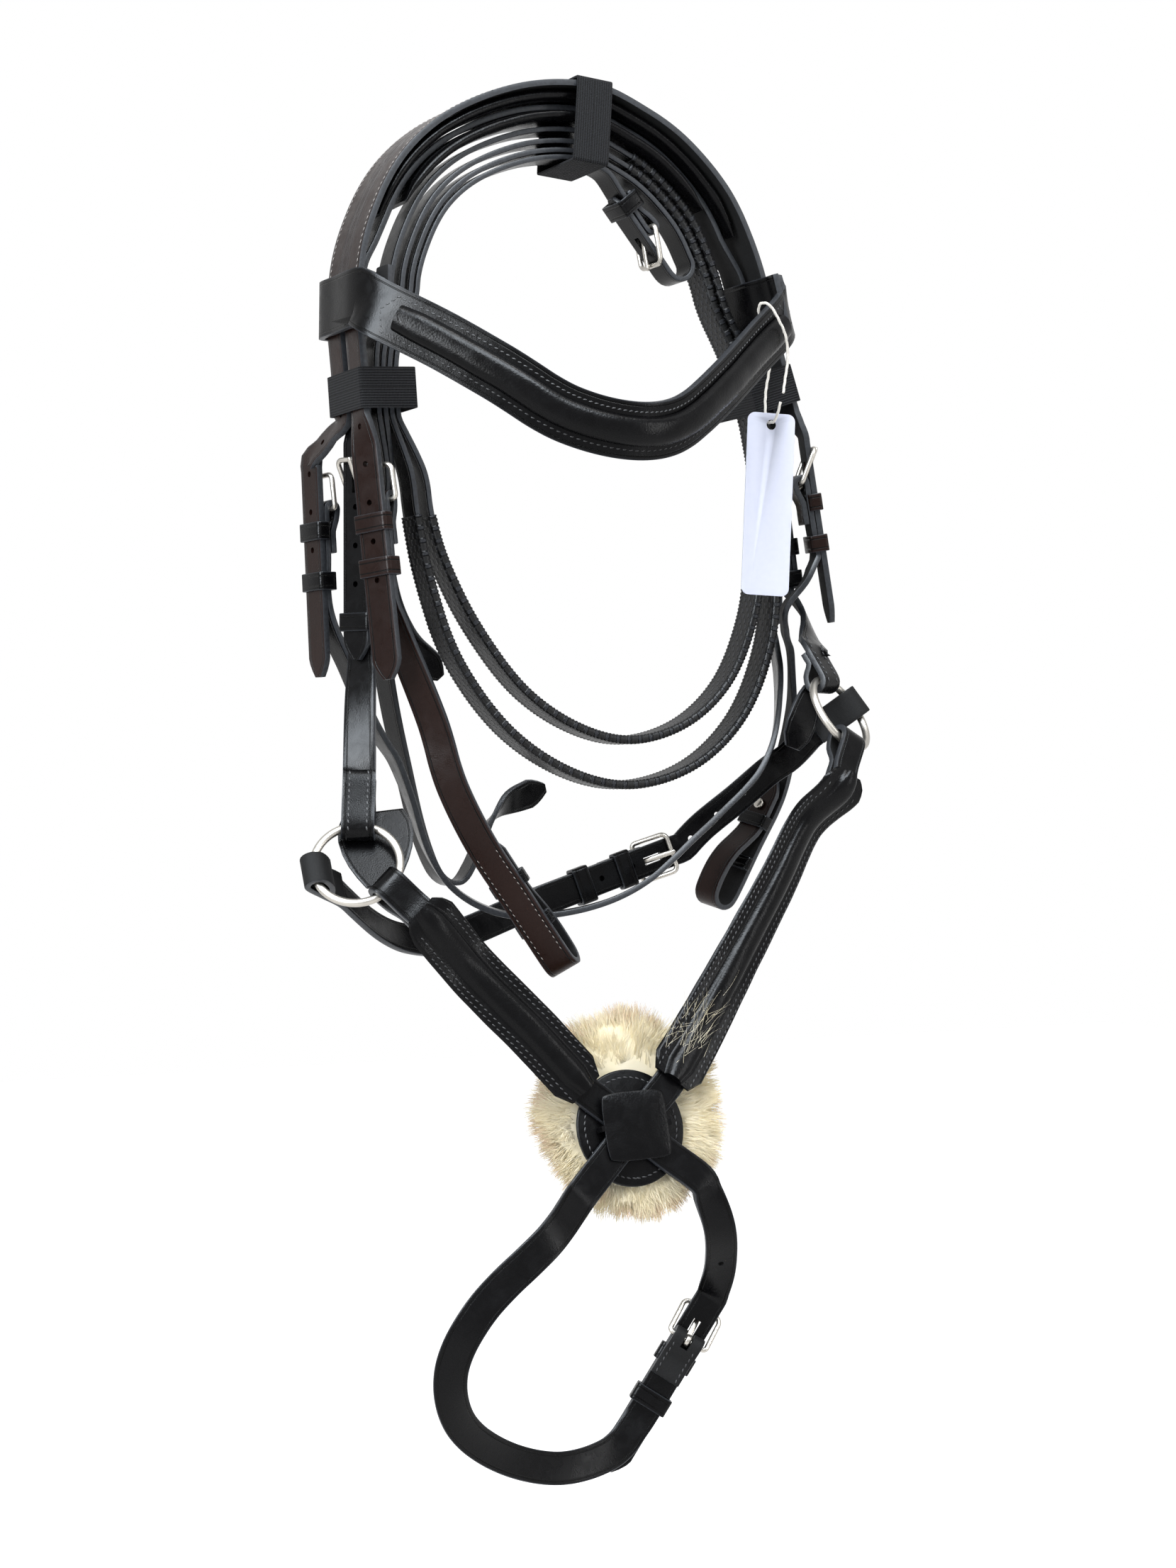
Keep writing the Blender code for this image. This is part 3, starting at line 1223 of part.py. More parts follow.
def build_tag():
    outline = []
    radius = TAG_CORNER_R
    half = TAG_W / 2
    for u, w, start in ((-TAG_TOP, half, 180), (TAG_L - TAG_TOP, half, 90),
                        (TAG_L - TAG_TOP, -half, 0), (-TAG_TOP, -half, -90)):
        centre_u = u + (radius if u < 0 else -radius)
        centre_w = w - math.copysign(radius, w)
        for k in range(4):
            turn = math.radians(start - 30 * k)
            outline.append((centre_u + radius * math.cos(turn),
                            centre_w + radius * math.sin(turn)))
    card = slab("swing_tag", TAG, outline, -TAG_T / 2, TAG_T / 2, CARD)
    hole = rod("tag_hole", TAG, 0, 0, -TAG_T * 2, TAG_T * 2, TAG_HOLE_R, sides=16)
    combine(card, hole, "DIFFERENCE")
    points = spline([place(shares) for shares in STRING_SHARES], 4)
    curve = bpy.data.curves.new("tag_string", "CURVE")
    curve.dimensions = "3D"
    curve.bevel_depth = STRING_D / 2
    curve.bevel_resolution = 2
    curve.use_fill_caps = True
    path = curve.splines.new("POLY")
    path.points.add(len(points) - 1)
    for spot, point in zip(path.points, points):
        spot.co = (*point, 1.0)
    thing = bpy.data.objects.new("tag_string", curve)
    curve.materials.append(paint("tag_string_finish", *CARD))
    bpy.context.scene.collection.objects.link(thing)


GUARD_T = 0.002
GUARD_SHARES = {
    "left": ((-0.985, -0.283, -0.911), (-0.968, -0.181, -0.868), (-0.948, -0.074, -0.822)),
    "right": ((1.124, -0.222, -0.661), (1.085, -0.240, -0.695), (1.035, -0.215, -0.740))}
GUARD_TURNS = {"left": ((-28,), (-28,), (-28,)), "right": ((28,), (12,), (-5,))}
GUARD_WIDTHS = {"left": (0.40, 0.62, 0.80, 0.93, 1.0, 0.98, 0.80),
                "right": (0.30, 0.42, 0.50, 0.54, 0.54, 0.46, 0.24)}
GUARD_W = 0.037


def build_guards():
    """Leather guards that lie behind the rings."""
    for side in ("left", "right"):
        rows = run(table(GUARD_SHARES[side], GUARD_TURNS[side]), 3)
        sweep(side + "_ring_guard", rows, rectangle(GUARD_W, GUARD_T), BLACK_LEATHER,
              widths=GUARD_WIDTHS[side])


def build_top():
    """Headpiece, headstrap, hangers, cheekpieces and throat lash, with their slots."""
    headpiece = build_headpiece()
    build_roll("headpiece_padding", 1, ROLL_T, FULL_ZONE, FULL_ZONE)
    headstrap = build_headstrap()
    build_roll("noseband_headstrap_padding", 3, NOSE_ROLL_T, FULL_ZONE * 1.2, FULL_ZONE * 1.2)
    for buckle in build_hangers():
        buckle.cut_billet(headstrap)
    build_cheekpiece("left", LEFT_CHEEK, False)
    build_cheekpiece("right", RIGHT_CHEEK, True).cut_billet(headpiece)
    _, right_throat = build_throat_lash()
    right_throat.cut_billet(headpiece)


def main():
    for thing in list(bpy.data.objects):
        bpy.data.objects.remove(thing)
    build_top()
    build_browband()
    LEFT_RING.add()
    RIGHT_RING.add()
    build_guards()
    build_nose_straps()
    build_disc()
    build_jaw()
    build_reins()
    build_bands()
    build_tag()


main()
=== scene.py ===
# %% [markdown]
# # Dressing a bridle with a figure eight noseband
#
# The frame that is loaded here has every piece of the bridle as a plain closed solid at its real
# size. This lesson gives each piece its real look: creased leather, saddle stitching, padded rolls,
# rubber grips, nickel plate, elastic and sheepskin. Nearly all of it is flat strap that has been
# bent, so most of the lesson is about one good way to bend a strap.

import random
from math import asin, atan2, ceil, copysign, cos, pi, radians, sin, sqrt, tan

import bpy
from mathutils import Matrix, Vector, noise


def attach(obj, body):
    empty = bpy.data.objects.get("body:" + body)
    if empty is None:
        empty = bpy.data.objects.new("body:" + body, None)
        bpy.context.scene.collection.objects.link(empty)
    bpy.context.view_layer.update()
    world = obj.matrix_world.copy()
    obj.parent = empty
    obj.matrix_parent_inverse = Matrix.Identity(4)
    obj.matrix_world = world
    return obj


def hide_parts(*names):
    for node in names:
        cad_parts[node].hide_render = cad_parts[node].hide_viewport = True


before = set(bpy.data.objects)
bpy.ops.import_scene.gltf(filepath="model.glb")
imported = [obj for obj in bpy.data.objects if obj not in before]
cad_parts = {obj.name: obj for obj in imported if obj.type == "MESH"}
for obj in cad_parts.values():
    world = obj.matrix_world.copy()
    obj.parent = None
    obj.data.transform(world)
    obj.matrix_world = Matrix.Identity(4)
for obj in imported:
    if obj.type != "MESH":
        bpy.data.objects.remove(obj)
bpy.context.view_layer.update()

# %% [markdown]
# ## Camera
#
# The photograph was taken level with the middle of the bridle, from a little to its left and about
# 1.35 m away. A lens of 60 mm on a 36 mm tall sensor frames it in the same way.

# %% Camera
CAMERA_SPOT = Vector((-0.6243, -1.197, -0.3149))
VIEW_LINE = Vector((0.469, 0.883, 0.0))
bpy.ops.object.camera_add(location=CAMERA_SPOT,
                          rotation=VIEW_LINE.to_track_quat("-Z", "Y").to_euler())
camera = bpy.context.object
camera.data.sensor_fit, camera.data.sensor_height, camera.data.lens = "VERTICAL", 36, 60.4
bpy.context.scene.camera = camera

# %% [markdown]
# ## Colours and nodes
#
# Colours are written as sRGB hex values, and a shader wants linear light, so one function turns
# them. Another adds a node with its settings and its inputs. A node that is given as an input
# stands for its main output, which keeps long chains readable.

# %% Colour and node helpers
MM = 0.001
MAIN_OUTPUT = {"ShaderNodeMix": 2, "ShaderNodeTexCoord": "Object"}


def linear(hex_colour):
    """The linear colour that a node wants, from an sRGB hex value."""
    parts = [int(hex_colour[i:i + 2], 16) / 255 for i in (1, 3, 5)]
    return (*[c / 12.92 if c <= 0.04045 else ((c + 0.055) / 1.055) ** 2.4 for c in parts], 1.0)


def fill(tree, node, inputs):
    """Give a node's sockets values or links."""
    for key, value in inputs.items():
        if isinstance(value, bpy.types.Node):
            value = value.outputs[MAIN_OUTPUT.get(value.bl_idname, 0)]
        if isinstance(value, bpy.types.NodeSocket):
            tree.links.new(value, node.inputs[key])
        else:
            node.inputs[key].default_value = value


def add_node(tree, kind, inputs=None, **settings):
    """Add a shader node with its settings, and fill its inputs."""
    node = tree.nodes.new("ShaderNode" + kind)
    for key, value in settings.items():
        setattr(node, key, value)
    fill(tree, node, inputs or {})
    return node


def new_finish(name, colour, roughness, **sockets):
    """A material, its node tree and its Principled shader, whose own sockets are set."""
    finish = bpy.data.materials.new(name)
    finish.use_nodes = True
    tree = finish.node_tree
    shader = tree.nodes["Principled BSDF"]
    fill(tree, shader, {"Base Color": linear(colour), "Roughness": roughness})
    fill(tree, shader, {key.replace("_", " "): value for key, value in sockets.items()})
    return finish, tree, shader


def seen_rays(tree):
    """1 where the camera, a mirror or glass looks, and 0 for the light that falls on things."""
    path = add_node(tree, "LightPath")
    seen = add_node(tree, "Math", {0: path.outputs["Is Camera Ray"],
                                   1: path.outputs["Is Glossy Ray"]}, operation="MAXIMUM")
    return add_node(tree, "Math", {0: seen, 1: path.outputs["Is Transmission Ray"]},
                    operation="MAXIMUM")


# %% [markdown]
# ## World and floor
#
# The world is plain white where it is looked at, and only a third as strong as a light, which keeps
# the leather black.

# %% World
world = bpy.data.worlds.new("Photo studio")
bpy.context.scene.world = world
world.use_nodes = True
tree = world.node_tree
tree.nodes.clear()
strength = add_node(tree, "MapRange", {"Value": seen_rays(tree), "To Min": 0.35, "To Max": 1.0})
sky = add_node(tree, "Background", {"Color": linear("#ffffff"), "Strength": strength})
add_node(tree, "OutputWorld", {"Surface": sky})

# %% [markdown]
# The bridle hangs from a peg, so the floor lies well below it. It is a sheet of paper that shows
# white in the same way as the world, and still takes shadows.

# %% Floor
FLOOR_Z = -1.05
bpy.ops.mesh.primitive_plane_add(size=8, location=(0.6, 1.2, FLOOR_Z))
floor = bpy.context.object
floor.name = "studio_floor"
PAPER, tree, shader = new_finish("Matt white paper", "#f4f4f4", 0.9)
white = add_node(tree, "Emission", {"Color": linear("#ffffff"), "Strength": 0.8})
dark = add_node(tree, "Emission", {"Strength": 0.0})
lit = add_node(tree, "MixShader", {0: seen_rays(tree), 1: dark, 2: white})
both = add_node(tree, "AddShader", {0: shader, 1: lit})
fill(tree, tree.nodes["Material Output"], {"Surface": both})
floor.data.materials.append(PAPER)

# %% [markdown]
# ## Lamps
#
# Black leather shows its shape by what it reflects. Three narrow panels light the bridle from the
# left, the right and above. Two wide softboxes are seen by reflections alone, so they draw soft
# highlights on the leather without washing out the white card and the wool.

# %% Lamps
TARGET = Vector((0.0, 0.0, -0.32))
for name, spot, size, watts, mirrored in (
        ("left panel", (-1.5, -1.0, 0.35), (0.22, 1.7), 24, False),
        ("right panel", (1.3, -1.5, 0.1), (0.18, 1.6), 12, False),
        ("top panel", (0.0, -0.7, 1.25), (1.3, 0.22), 19, False),
        ("overhead reflector", (-0.25, -1.15, 0.95), (1.1, 0.6), 75, True),
        ("side reflector", (-1.35, -0.55, 0.35), (0.6, 1.1), 80, True)):
    turn = (TARGET - Vector(spot)).to_track_quat("-Z", "Y").to_euler()
    bpy.ops.object.light_add(type="AREA", location=spot, rotation=turn)
    lamp = bpy.context.object
    lamp.name, lamp.data.shape, lamp.data.energy = name, "RECTANGLE", watts
    lamp.data.size, lamp.data.size_y = size
    if mirrored:
        lamp.data.color = (0.86, 0.93, 1.0)
        lamp.visible_diffuse = False
bpy.context.scene.view_settings.view_transform = "Standard"

# %% [markdown]
# ## Finishes
#
# Every strap carries a UV map measured in metres: U is the distance in from the strap's nearest
# edge and V the distance along it. That makes a saddler's marks easy to place, because a crease
# line is always pressed a fixed distance in from the edge. Grain and colour changes read Object
# coordinates, so they run on from one strap to the next as they would across a hide.

# %% Bridle leather
def bridle_leather(name, colour, worn, smooth, rough, crease=2.0, grain=0.7, depth=0.1, edge_wear_and_highlight=0.4):
    """Drum dyed, waxed and rolled leather. crease is how far in the pressed line runs, in mm,
    and the last argument how much paler the rounded edge is painted, partly as wear and partly as a
    painted highlight."""
    finish, tree, shader = new_finish(name, colour, smooth, IOR=1.4, Specular_IOR_Level=0.13)
    coords = add_node(tree, "TexCoord")
    # A hide takes dye unevenly over a few centimetres.
    patches = add_node(tree, "TexNoise", {"Vector": coords, "Scale": 1 / 0.03, "Detail": 3.0})
    tone = add_node(tree, "Mix", {0: patches, 6: linear(colour), 7: linear(worn)},
                    data_type="RGBA")
    inward = add_node(tree, "SeparateXYZ", {0: coords.outputs["UV"]})
    # The pressed crease: a groove 0.5 mm wide, darkened inside with painted shade.
    away = add_node(tree, "Math", {0: inward, 1: crease * MM}, operation="SUBTRACT")
    away = add_node(tree, "Math", {0: away}, operation="ABSOLUTE")
    groove = add_node(tree, "MapRange", {"Value": away, "From Min": 0.1 * MM,
                                         "From Max": 0.45 * MM}, interpolation_type="SMOOTHSTEP")
    tone_with_groove_shade = add_node(tree, "Mix", {0: groove, 6: linear("#040404"), 7: tone}, data_type="RGBA")
    # The rounded edge is painted paler, partly as wear from handling and partly as a painted
    # highlight along it.
    edge_wear_and_highlight_mask = add_node(tree, "MapRange", {"Value": inward, "From Min": 0.0, "From Max": 0.7 * MM,
                                         "To Min": edge_wear_and_highlight, "To Max": 0.0})
    shade = add_node(tree, "Mix", {0: edge_wear_and_highlight_mask, 6: tone_with_groove_shade, 7: linear("#4a4e55")}, data_type="RGBA")
    # Pores of cattle hide are about 0.2 mm apart; drawn at about 1 mm so that they show.
    pores = add_node(tree, "TexVoronoi", {"Vector": coords, "Scale": 1 / (grain * MM)})
    folds = add_node(tree, "TexNoise", {"Vector": coords, "Scale": 1 / 0.006, "Detail": 4.0,
                                        "Distortion": 0.6})
    skin = add_node(tree, "Math", {0: folds, 1: 1.6, 2: pores}, operation="MULTIPLY_ADD")
    pressed = add_node(tree, "Bump", {"Height": groove, "Distance": 0.4 * MM})
    bump = add_node(tree, "Bump", {"Height": skin, "Distance": depth * MM, "Strength": 0.3,
                                   "Normal": pressed})
    shine = add_node(tree, "MapRange", {"Value": folds, "From Min": 0.3, "From Max": 0.7,
                                        "To Min": smooth, "To Max": rough})
    fill(tree, shader, {"Base Color": shade, "Normal": bump, "Roughness": shine})
    return finish


BLACK = bridle_leather("Waxed black bridle leather", "#060607", "#0b0b0d", 0.2, 0.34)
BROWN = bridle_leather("Waxed dark havana bridle leather", "#1c110e", "#261713", 0.24, 0.38)
# Calf over padding has no crease, so its line is put where no strap reaches.
SOFT = bridle_leather("Black calf leather over padding", "#060607", "#0a0a0c", 0.2, 0.32,
                      crease=-50.0, grain=1.1, depth=0.16, edge_wear_and_highlight=0.0)

# %% [markdown]
# Four finishes are fine fibres, and differ in size and tone. The cut edge of a strap is dyed and
# burnished with wax, and smoother than the flesh side; its grey, paler than the grain, is partly
# its own tone and partly a painted highlight along the edge. The flesh side is the back of the
# hide, dull and fibrous. The swing tag is coated white board with a hint of pulp, and it stays
# blank. Its string is matt, fuzzy cotton.

# %% Fibres: edges, backs, card and string
def fibrous(name, roughness, dark, pale, size, detail, relief, strength=1.0, tangle=0.5, **sockets):
    """Fibres of two tones, with size and relief in mm."""
    finish, tree, shader = new_finish(name, pale, roughness, **sockets)
    fibres = add_node(tree, "TexNoise", {"Vector": add_node(tree, "TexCoord"), "Detail": detail,
                                         "Scale": 1 / (size * MM), "Roughness": tangle})
    tone = add_node(tree, "Mix", {0: fibres, 6: linear(dark), 7: linear(pale)}, data_type="RGBA")
    bump = add_node(tree, "Bump", {"Height": fibres, "Distance": relief * MM,
                                   "Strength": strength})
    fill(tree, shader, {"Base Color": tone, "Normal": bump})
    return finish


# The edge's pale grey is partly its own tone and partly a painted highlight.
EDGE = fibrous("Burnished cut edge", 0.42, "#17181b", "#3a3e44", 1.5, 5.0, 0.2, 0.4,
               Specular_IOR_Level=0.25)
FLESH = fibrous("Flesh side of dyed leather", 0.7, "#08080a", "#191919", 1.2, 6.0, 0.25, 0.6, 0.7,
                Specular_IOR_Level=0.12)
CARD = fibrous("Coated white board", 0.45, "#d3d9ed", "#dadff1", 3.0, 4.0, 0.05, 0.3,
               Specular_IOR_Level=0.05)
COTTON = fibrous("Twisted white cotton", 0.85, "#d3cfc6", "#f7f5f0", 0.8, 3.0, 0.15)

# %% [markdown]
# Saddlers sew with linen thread drawn through beeswax. It looks matt, with a fine diagonal twist,
# which a wave texture gives. Black thread holds black leather, and grey thread the brown.

# %% Threads
def waxed_thread(name, colour):
    """Twisted linen thread drawn through beeswax."""
    finish, tree, shader = new_finish(name, colour, 0.6)
    twist = add_node(tree, "TexWave", {"Vector": add_node(tree, "TexCoord"), "Scale": 1 / 0.004,
                                       "Distortion": 1.0}, bands_direction="DIAGONAL")
    bump = add_node(tree, "Bump", {"Height": twist.outputs["Fac"], "Distance": 0.1 * MM,
                                   "Strength": 0.5})
    fill(tree, shader, {"Normal": bump})
    return finish


BLACK_THREAD = waxed_thread("Black waxed linen thread", "#17171a")
GREY_THREAD = waxed_thread("Grey waxed linen thread", "#77706c")

# %% [markdown]
# Nickel plate is a true metal, so its colour is its reflection: a warm grey, worn satin by handling
# and a little uneven where it was buffed. The rubber of rein grips is moulded with a weave of oval
# pimples, the product of two cosines, one across and one along. Woven elastic has rubber cords
# 1.3 mm apart across the band, crossed by a thread every 0.8 mm, so it takes two cosines as well.

# %% Nickel, rubber and elastic
def waves(tree, *pitches):
    """Cosines of the UV map's two directions, with their pitches in mm."""
    split = add_node(tree, "SeparateXYZ", {0: add_node(tree, "TexCoord").outputs["UV"]})
    turns = [add_node(tree, "Math", {0: split.outputs[axis], 1: 2 * pi / (pitch * MM)},
                      operation="MULTIPLY") for axis, pitch in enumerate(pitches)]
    return [add_node(tree, "Math", {0: turn}, operation="COSINE") for turn in turns]


NICKEL, tree, shader = new_finish("Polished nickel plate", "#a5a19a", 0.34, Metallic=1.0)
buffing = add_node(tree, "TexNoise", {"Vector": add_node(tree, "TexCoord"), "Scale": 1 / 0.004,
                                      "Detail": 2.0})
buffed = add_node(tree, "MapRange", {"Value": buffing, "To Min": 0.28, "To Max": 0.4})
fill(tree, shader, {"Roughness": buffed})

RUBBER, tree, shader = new_finish("Moulded rubber rein grip", "#0e0e10", 0.42,
                                  Specular_IOR_Level=0.2)
across, along = waves(tree, 4.6, 6.4)
weave = add_node(tree, "Math", {0: across, 1: along}, operation="MULTIPLY")
raised = add_node(tree, "MapRange", {"Value": weave, "From Min": 0.15, "From Max": 0.6},
                  interpolation_type="SMOOTHSTEP")
pimples = add_node(tree, "Bump", {"Height": raised, "Distance": 1.2 * MM})
# The raised pimples are painted paler than the ground: a painted highlight on their tops.
tone = add_node(tree, "Mix", {0: raised, 6: linear("#050506"), 7: linear("#1d1f24")},
                data_type="RGBA")
fill(tree, shader, {"Base Color": tone, "Normal": pimples})

ELASTIC, tree, shader = new_finish("Ribbed woven elastic", "#0d0d0f", 0.8, Sheen_Weight=0.03,
                                   Specular_IOR_Level=0.12)
ribs, weft = waves(tree, 1.3, 0.8)
cloth = add_node(tree, "Math", {0: weft, 1: 0.25, 2: ribs}, operation="MULTIPLY_ADD")
cloth_bump = add_node(tree, "Bump", {"Height": cloth, "Distance": 0.25 * MM})
lit_rib = add_node(tree, "MapRange", {"Value": cloth, "From Min": -1.0})
tone = add_node(tree, "Mix", {0: lit_rib, 6: linear("#060607"), 7: linear("#1a1b1f")},
                data_type="RGBA")
fill(tree, shader, {"Base Color": tone, "Normal": cloth_bump})

# %% [markdown]
# Sheepskin keeps the cream of the fleece, with the tips of some of the outer wool weathered to tan.
# The wool is real strands later on; here U of each strand's UV map says how tan it is, so one
# material serves all of them.

# %% Wool
WOOL, tree, shader = new_finish("Sheepskin wool", "#efe3b4", 0.9, Sheen_Weight=0.3,
                                Specular_IOR_Level=0.1)
coords = add_node(tree, "TexCoord")
tanned = add_node(tree, "SeparateXYZ", {0: coords.outputs["UV"]})
locks = add_node(tree, "TexNoise", {"Vector": coords, "Scale": 1 / 0.014, "Detail": 2.0})
cream = add_node(tree, "Mix", {0: locks, 6: linear("#f2e5bb"), 7: linear("#fcf8e8")},
                 data_type="RGBA")
tone = add_node(tree, "Mix", {0: tanned, 6: cream, 7: linear("#c8a084")}, data_type="RGBA")
fill(tree, shader, {"Base Color": tone})
print("finishes:", ", ".join(finish.name for finish in (
    BLACK, BROWN, SOFT, EDGE, FLESH, CARD, COTTON, NICKEL, RUBBER, ELASTIC, WOOL)))

# %% [markdown]
# ## Where a strap lies
#
# A strap is described by stations: a place on its middle line and the direction across it. The
# places are the frame's own, so a dressed strap lies exactly where its solid does. They are
# written as shares of the bridle's half span, depth and drop.

# %% Sizes, in metres
HALF_SPAN, DEPTH, DROP = 0.118, 0.1, 0.4
STRAP_W, STRAP_T = 0.016, 0.003
HEAD_W, ROLL_W, ROLL_T, NOSE_ROLL_T = 0.038, 0.03, 0.0065, 0.006
BROW_W, BROW_PAD_T, NOSE_PAD_W, NOSE_PAD_T = 0.028, 0.005, 0.029, 0.005
REIN_T, GRIP_WALL, GAP = 0.0026, 0.0009, 0.0003
WIRE_R, RING_R, RING_WIRE_R, BUCKLE_L = 0.0013, 0.021, 0.002, 0.017
TONGUE_W, TONGUE_T = 0.003, 0.0018
KEEPER_W, KEEPER_T, BAND_W, BAND_T, BAND_BOW = 0.009, 0.0016, 0.02, 0.0012, 0.0014
DISC_R, DISC_T, CAP_HALF, FLEECE_R, FLEECE_T = 0.028, 0.0025, 0.018, 0.051, 0.02
TIP_SHARES = (1.0, 0.86, 0.62, 0.3)


def place(shares):
    return Vector((shares[0] * HALF_SPAN, shares[1] * DEPTH, shares[2] * DROP))


def turned(degrees, lean=0.0):
    """Direction across a strap whose face looks some degrees round from the front."""
    turn, tilt = radians(degrees), radians(lean)
    return Vector((cos(turn) * cos(tilt), sin(turn) * cos(tilt), sin(tilt)))


# %% [markdown]
# The stations in the tables are a few centimetres apart. A smooth curve goes through them, and
# every station on it gets a frame: its place, the direction across, the one that the strap's face
# looks out in, and the one along.

# %% Curves through stations
def spline(values, steps):
    """Smooth curve through a list of vectors, with some steps between each two."""
    ends = [values[0] * 2 - values[1], *values, values[-1] * 2 - values[-2]]
    curve = []
    for i in range(1, len(ends) - 2):
        before, here, there, after = ends[i - 1:i + 3]
        for k in range(steps):
            t = k / steps
            bend = (here * 3 - before - there * 3 + after) * t
            pull = before * 2 - here * 5 + there * 4 - after
            curve.append(here + ((bend + pull) * t + there - before) * (t / 2))
    return curve + [values[-1].copy()]


def run(rows, steps=3):
    """More stations on a smooth curve through rows of (place, across)."""
    rows = list(rows)
    aligned = [rows[0][1].copy()]
    for _, across in rows[1:]:
        aligned.append(across if across.dot(aligned[-1]) >= 0 else -across)
    return list(zip(spline([row[0] for row in rows], steps), spline(aligned, steps)))


def across_of(turn):
    """Direction across: degrees round, degrees round and leaned, or a vector."""
    if isinstance(turn, tuple):
        return Vector(turn).normalized() if len(turn) == 3 else turned(*turn)
    return turned(turn)


def table(rows, turns):
    """Stations from place shares and directions across."""
    return [(place(s), across_of(t)) for s, t in zip(rows, turns)]


def link(start, stations, end, steps):
    """Stations of a strap whose two made ends are linked by a smooth curve."""
    return start[:-1] + run([start[-1]] + stations + [end[0]], steps)[:-1] + end


def frames(stations, closed=False):
    """Place, across, out and along of each station."""
    count = len(stations)
    result = []
    for i, (here, across) in enumerate(stations):
        before = stations[i - 1][0] if closed or i else here
        after = stations[(i + 1) % count][0] if closed or i < count - 1 else here
        along = (after - before).normalized()
        side = (across - along * across.dot(along)).normalized()
        if result and side.dot(result[-1][1]) < 0:
            side = -side
        result.append((here, side, side.cross(along), along))
    return result


# %% [markdown]
# Stations 12 mm apart show as corners up close, so the next helper adds some every 3 mm. Its curve
# is centripetal, the kind that doesn't overshoot where the short steps round a buckle's bar meet
# the long steps of a straight strap.

# %% Finer stations
def finer(stations, shares=None, pitch=0.003):
    """Stations every few millimetres on the same curve, and their width shares."""
    shares = shares or [1.0] * len(stations)
    spots = [s[0] for s in stations]
    sides = [stations[0][1]]
    for _, side in stations[1:]:
        sides.append(side if side.dot(sides[-1]) >= 0 else -side)
    result, spread = [], []
    for i in range(len(stations) - 1):
        a, b = spots[i], spots[i + 1]
        before = spots[i - 1] if i else a * 2 - b
        after = spots[i + 2] if i + 2 < len(spots) else b * 2 - a
        t0, t1, t2 = [sqrt(max((q - p).length, 1e-5))
                      for p, q in ((before, a), (a, b), (b, after))]
        leave = ((a - before) / t0 - (b - before) / (t0 + t1) + (b - a) / t1) * t1
        arrive = ((b - a) / t1 - (after - a) / (t1 + t2) + (after - b) / t2) * t1
        steps = max(2, ceil((b - a).length / pitch))
        for k in range(steps):
            t = k / steps
            spot = (a * (2 * t ** 3 - 3 * t ** 2 + 1) + leave * (t ** 3 - 2 * t ** 2 + t)
                    + b * (3 * t ** 2 - 2 * t ** 3) + arrive * (t ** 3 - t ** 2))
            result.append((spot, sides[i].lerp(sides[i + 1], t)))
            spread.append(shares[i] + (shares[i + 1] - shares[i]) * t)
    return result + [(spots[-1], sides[-1])], spread + [shares[-1]]


def lengths_along(spots):
    lengths = [0.0]
    for before, after in zip(spots, spots[1:]):
        lengths.append(lengths[-1] + (after - before).length)
    return lengths


class Path:
    """A strap's fine stations with their frames, and places found by distance along."""

    def __init__(self, stations, shares=None, pitch=0.003):
        self.stations, self.shares = finer(stations, shares, pitch)
        self.frames = frames(self.stations)
        self.lengths = lengths_along([s[0] for s in self.stations])
        self.length = self.lengths[-1]

    def at(self, distance):
        """Place, across, out and along at a distance from the start."""
        distance = min(max(distance, 0.0), self.length)
        i = max(k for k in range(len(self.lengths) - 1) if self.lengths[k] <= distance)
        t = (distance - self.lengths[i]) / (self.lengths[i + 1] - self.lengths[i])
        return [p.lerp(q, t) for p, q in zip(self.frames[i], self.frames[i + 1])]

    def nearest(self, spot):
        """Distance along to the station nearest a point."""
        i = min(range(len(self.stations)), key=lambda k: (self.stations[k][0] - spot).length)
        return self.lengths[i]


# %% [markdown]
# ## Bending a strap
#
# By hand, one would add a grid, bend it along a curve and thicken it. The same happens here, but
# each corner of the grid is put on its station, so no curve modifier can twist it. Solidify gives
# the cut edge and the flesh side materials of their own, and Bevel rounds the edges.

# %% Sheets
def deselect():
    bpy.ops.object.select_all(action="DESELECT")


def only(thing):
    """Make one object the selected and active one."""
    deselect()
    thing.select_set(True)
    bpy.context.view_layer.objects.active = thing


def apply_all(thing):
    only(thing)
    for modifier in list(thing.modifiers):
        bpy.ops.object.modifier_apply(modifier=modifier.name)


def added(operator, **settings):
    """What an add operator makes, with nothing else selected."""
    deselect()
    operator(**settings)
    return bpy.context.object


def add_grid(name, columns, rows):
    """A unit grid, and the column and row of each of its corners."""
    grid = added(bpy.ops.mesh.primitive_grid_add, x_subdivisions=columns, y_subdivisions=rows,
                 size=1)
    grid.name = name
    cells = [(round((v.co.x + 0.5) * columns), round((v.co.y + 0.5) * rows))
             for v in grid.data.vertices]
    return grid, cells


def set_uv(thing, cells, uv_at):
    """UVs in metres from the column and row of each corner."""
    layer = thing.data.uv_layers.active or thing.data.uv_layers.new(name="UVMap")
    for loop in thing.data.loops:
        layer.data[loop.index].uv = uv_at(*cells[loop.vertex_index])


def bend_sheet(name, stations, width, columns=8, shares=None, closed=False, offset=0.0):
    """A flat grid laid along stations. It closes on itself like a keeper if asked."""
    rows = len(stations) - (0 if closed else 1)
    shares = shares or [1.0] * len(stations)
    spots = frames(stations, closed)
    spots = spots + [spots[0]] if closed else spots
    shares = list(shares) + [shares[0]]
    lengths = lengths_along([s[0] for s in spots])
    grid, cells = add_grid(name, columns, rows)
    for vertex, (column, row) in zip(grid.data.vertices, cells):
        here, side, out, _ = spots[row]
        vertex.co = here + side * (offset + (column / columns - 0.5) * width * shares[row])
    set_uv(grid, cells, lambda column, row: (
        width * shares[row] * (0.5 - abs(column / columns - 0.5)), lengths[row]))
    if closed:
        merge(grid)
    return grid


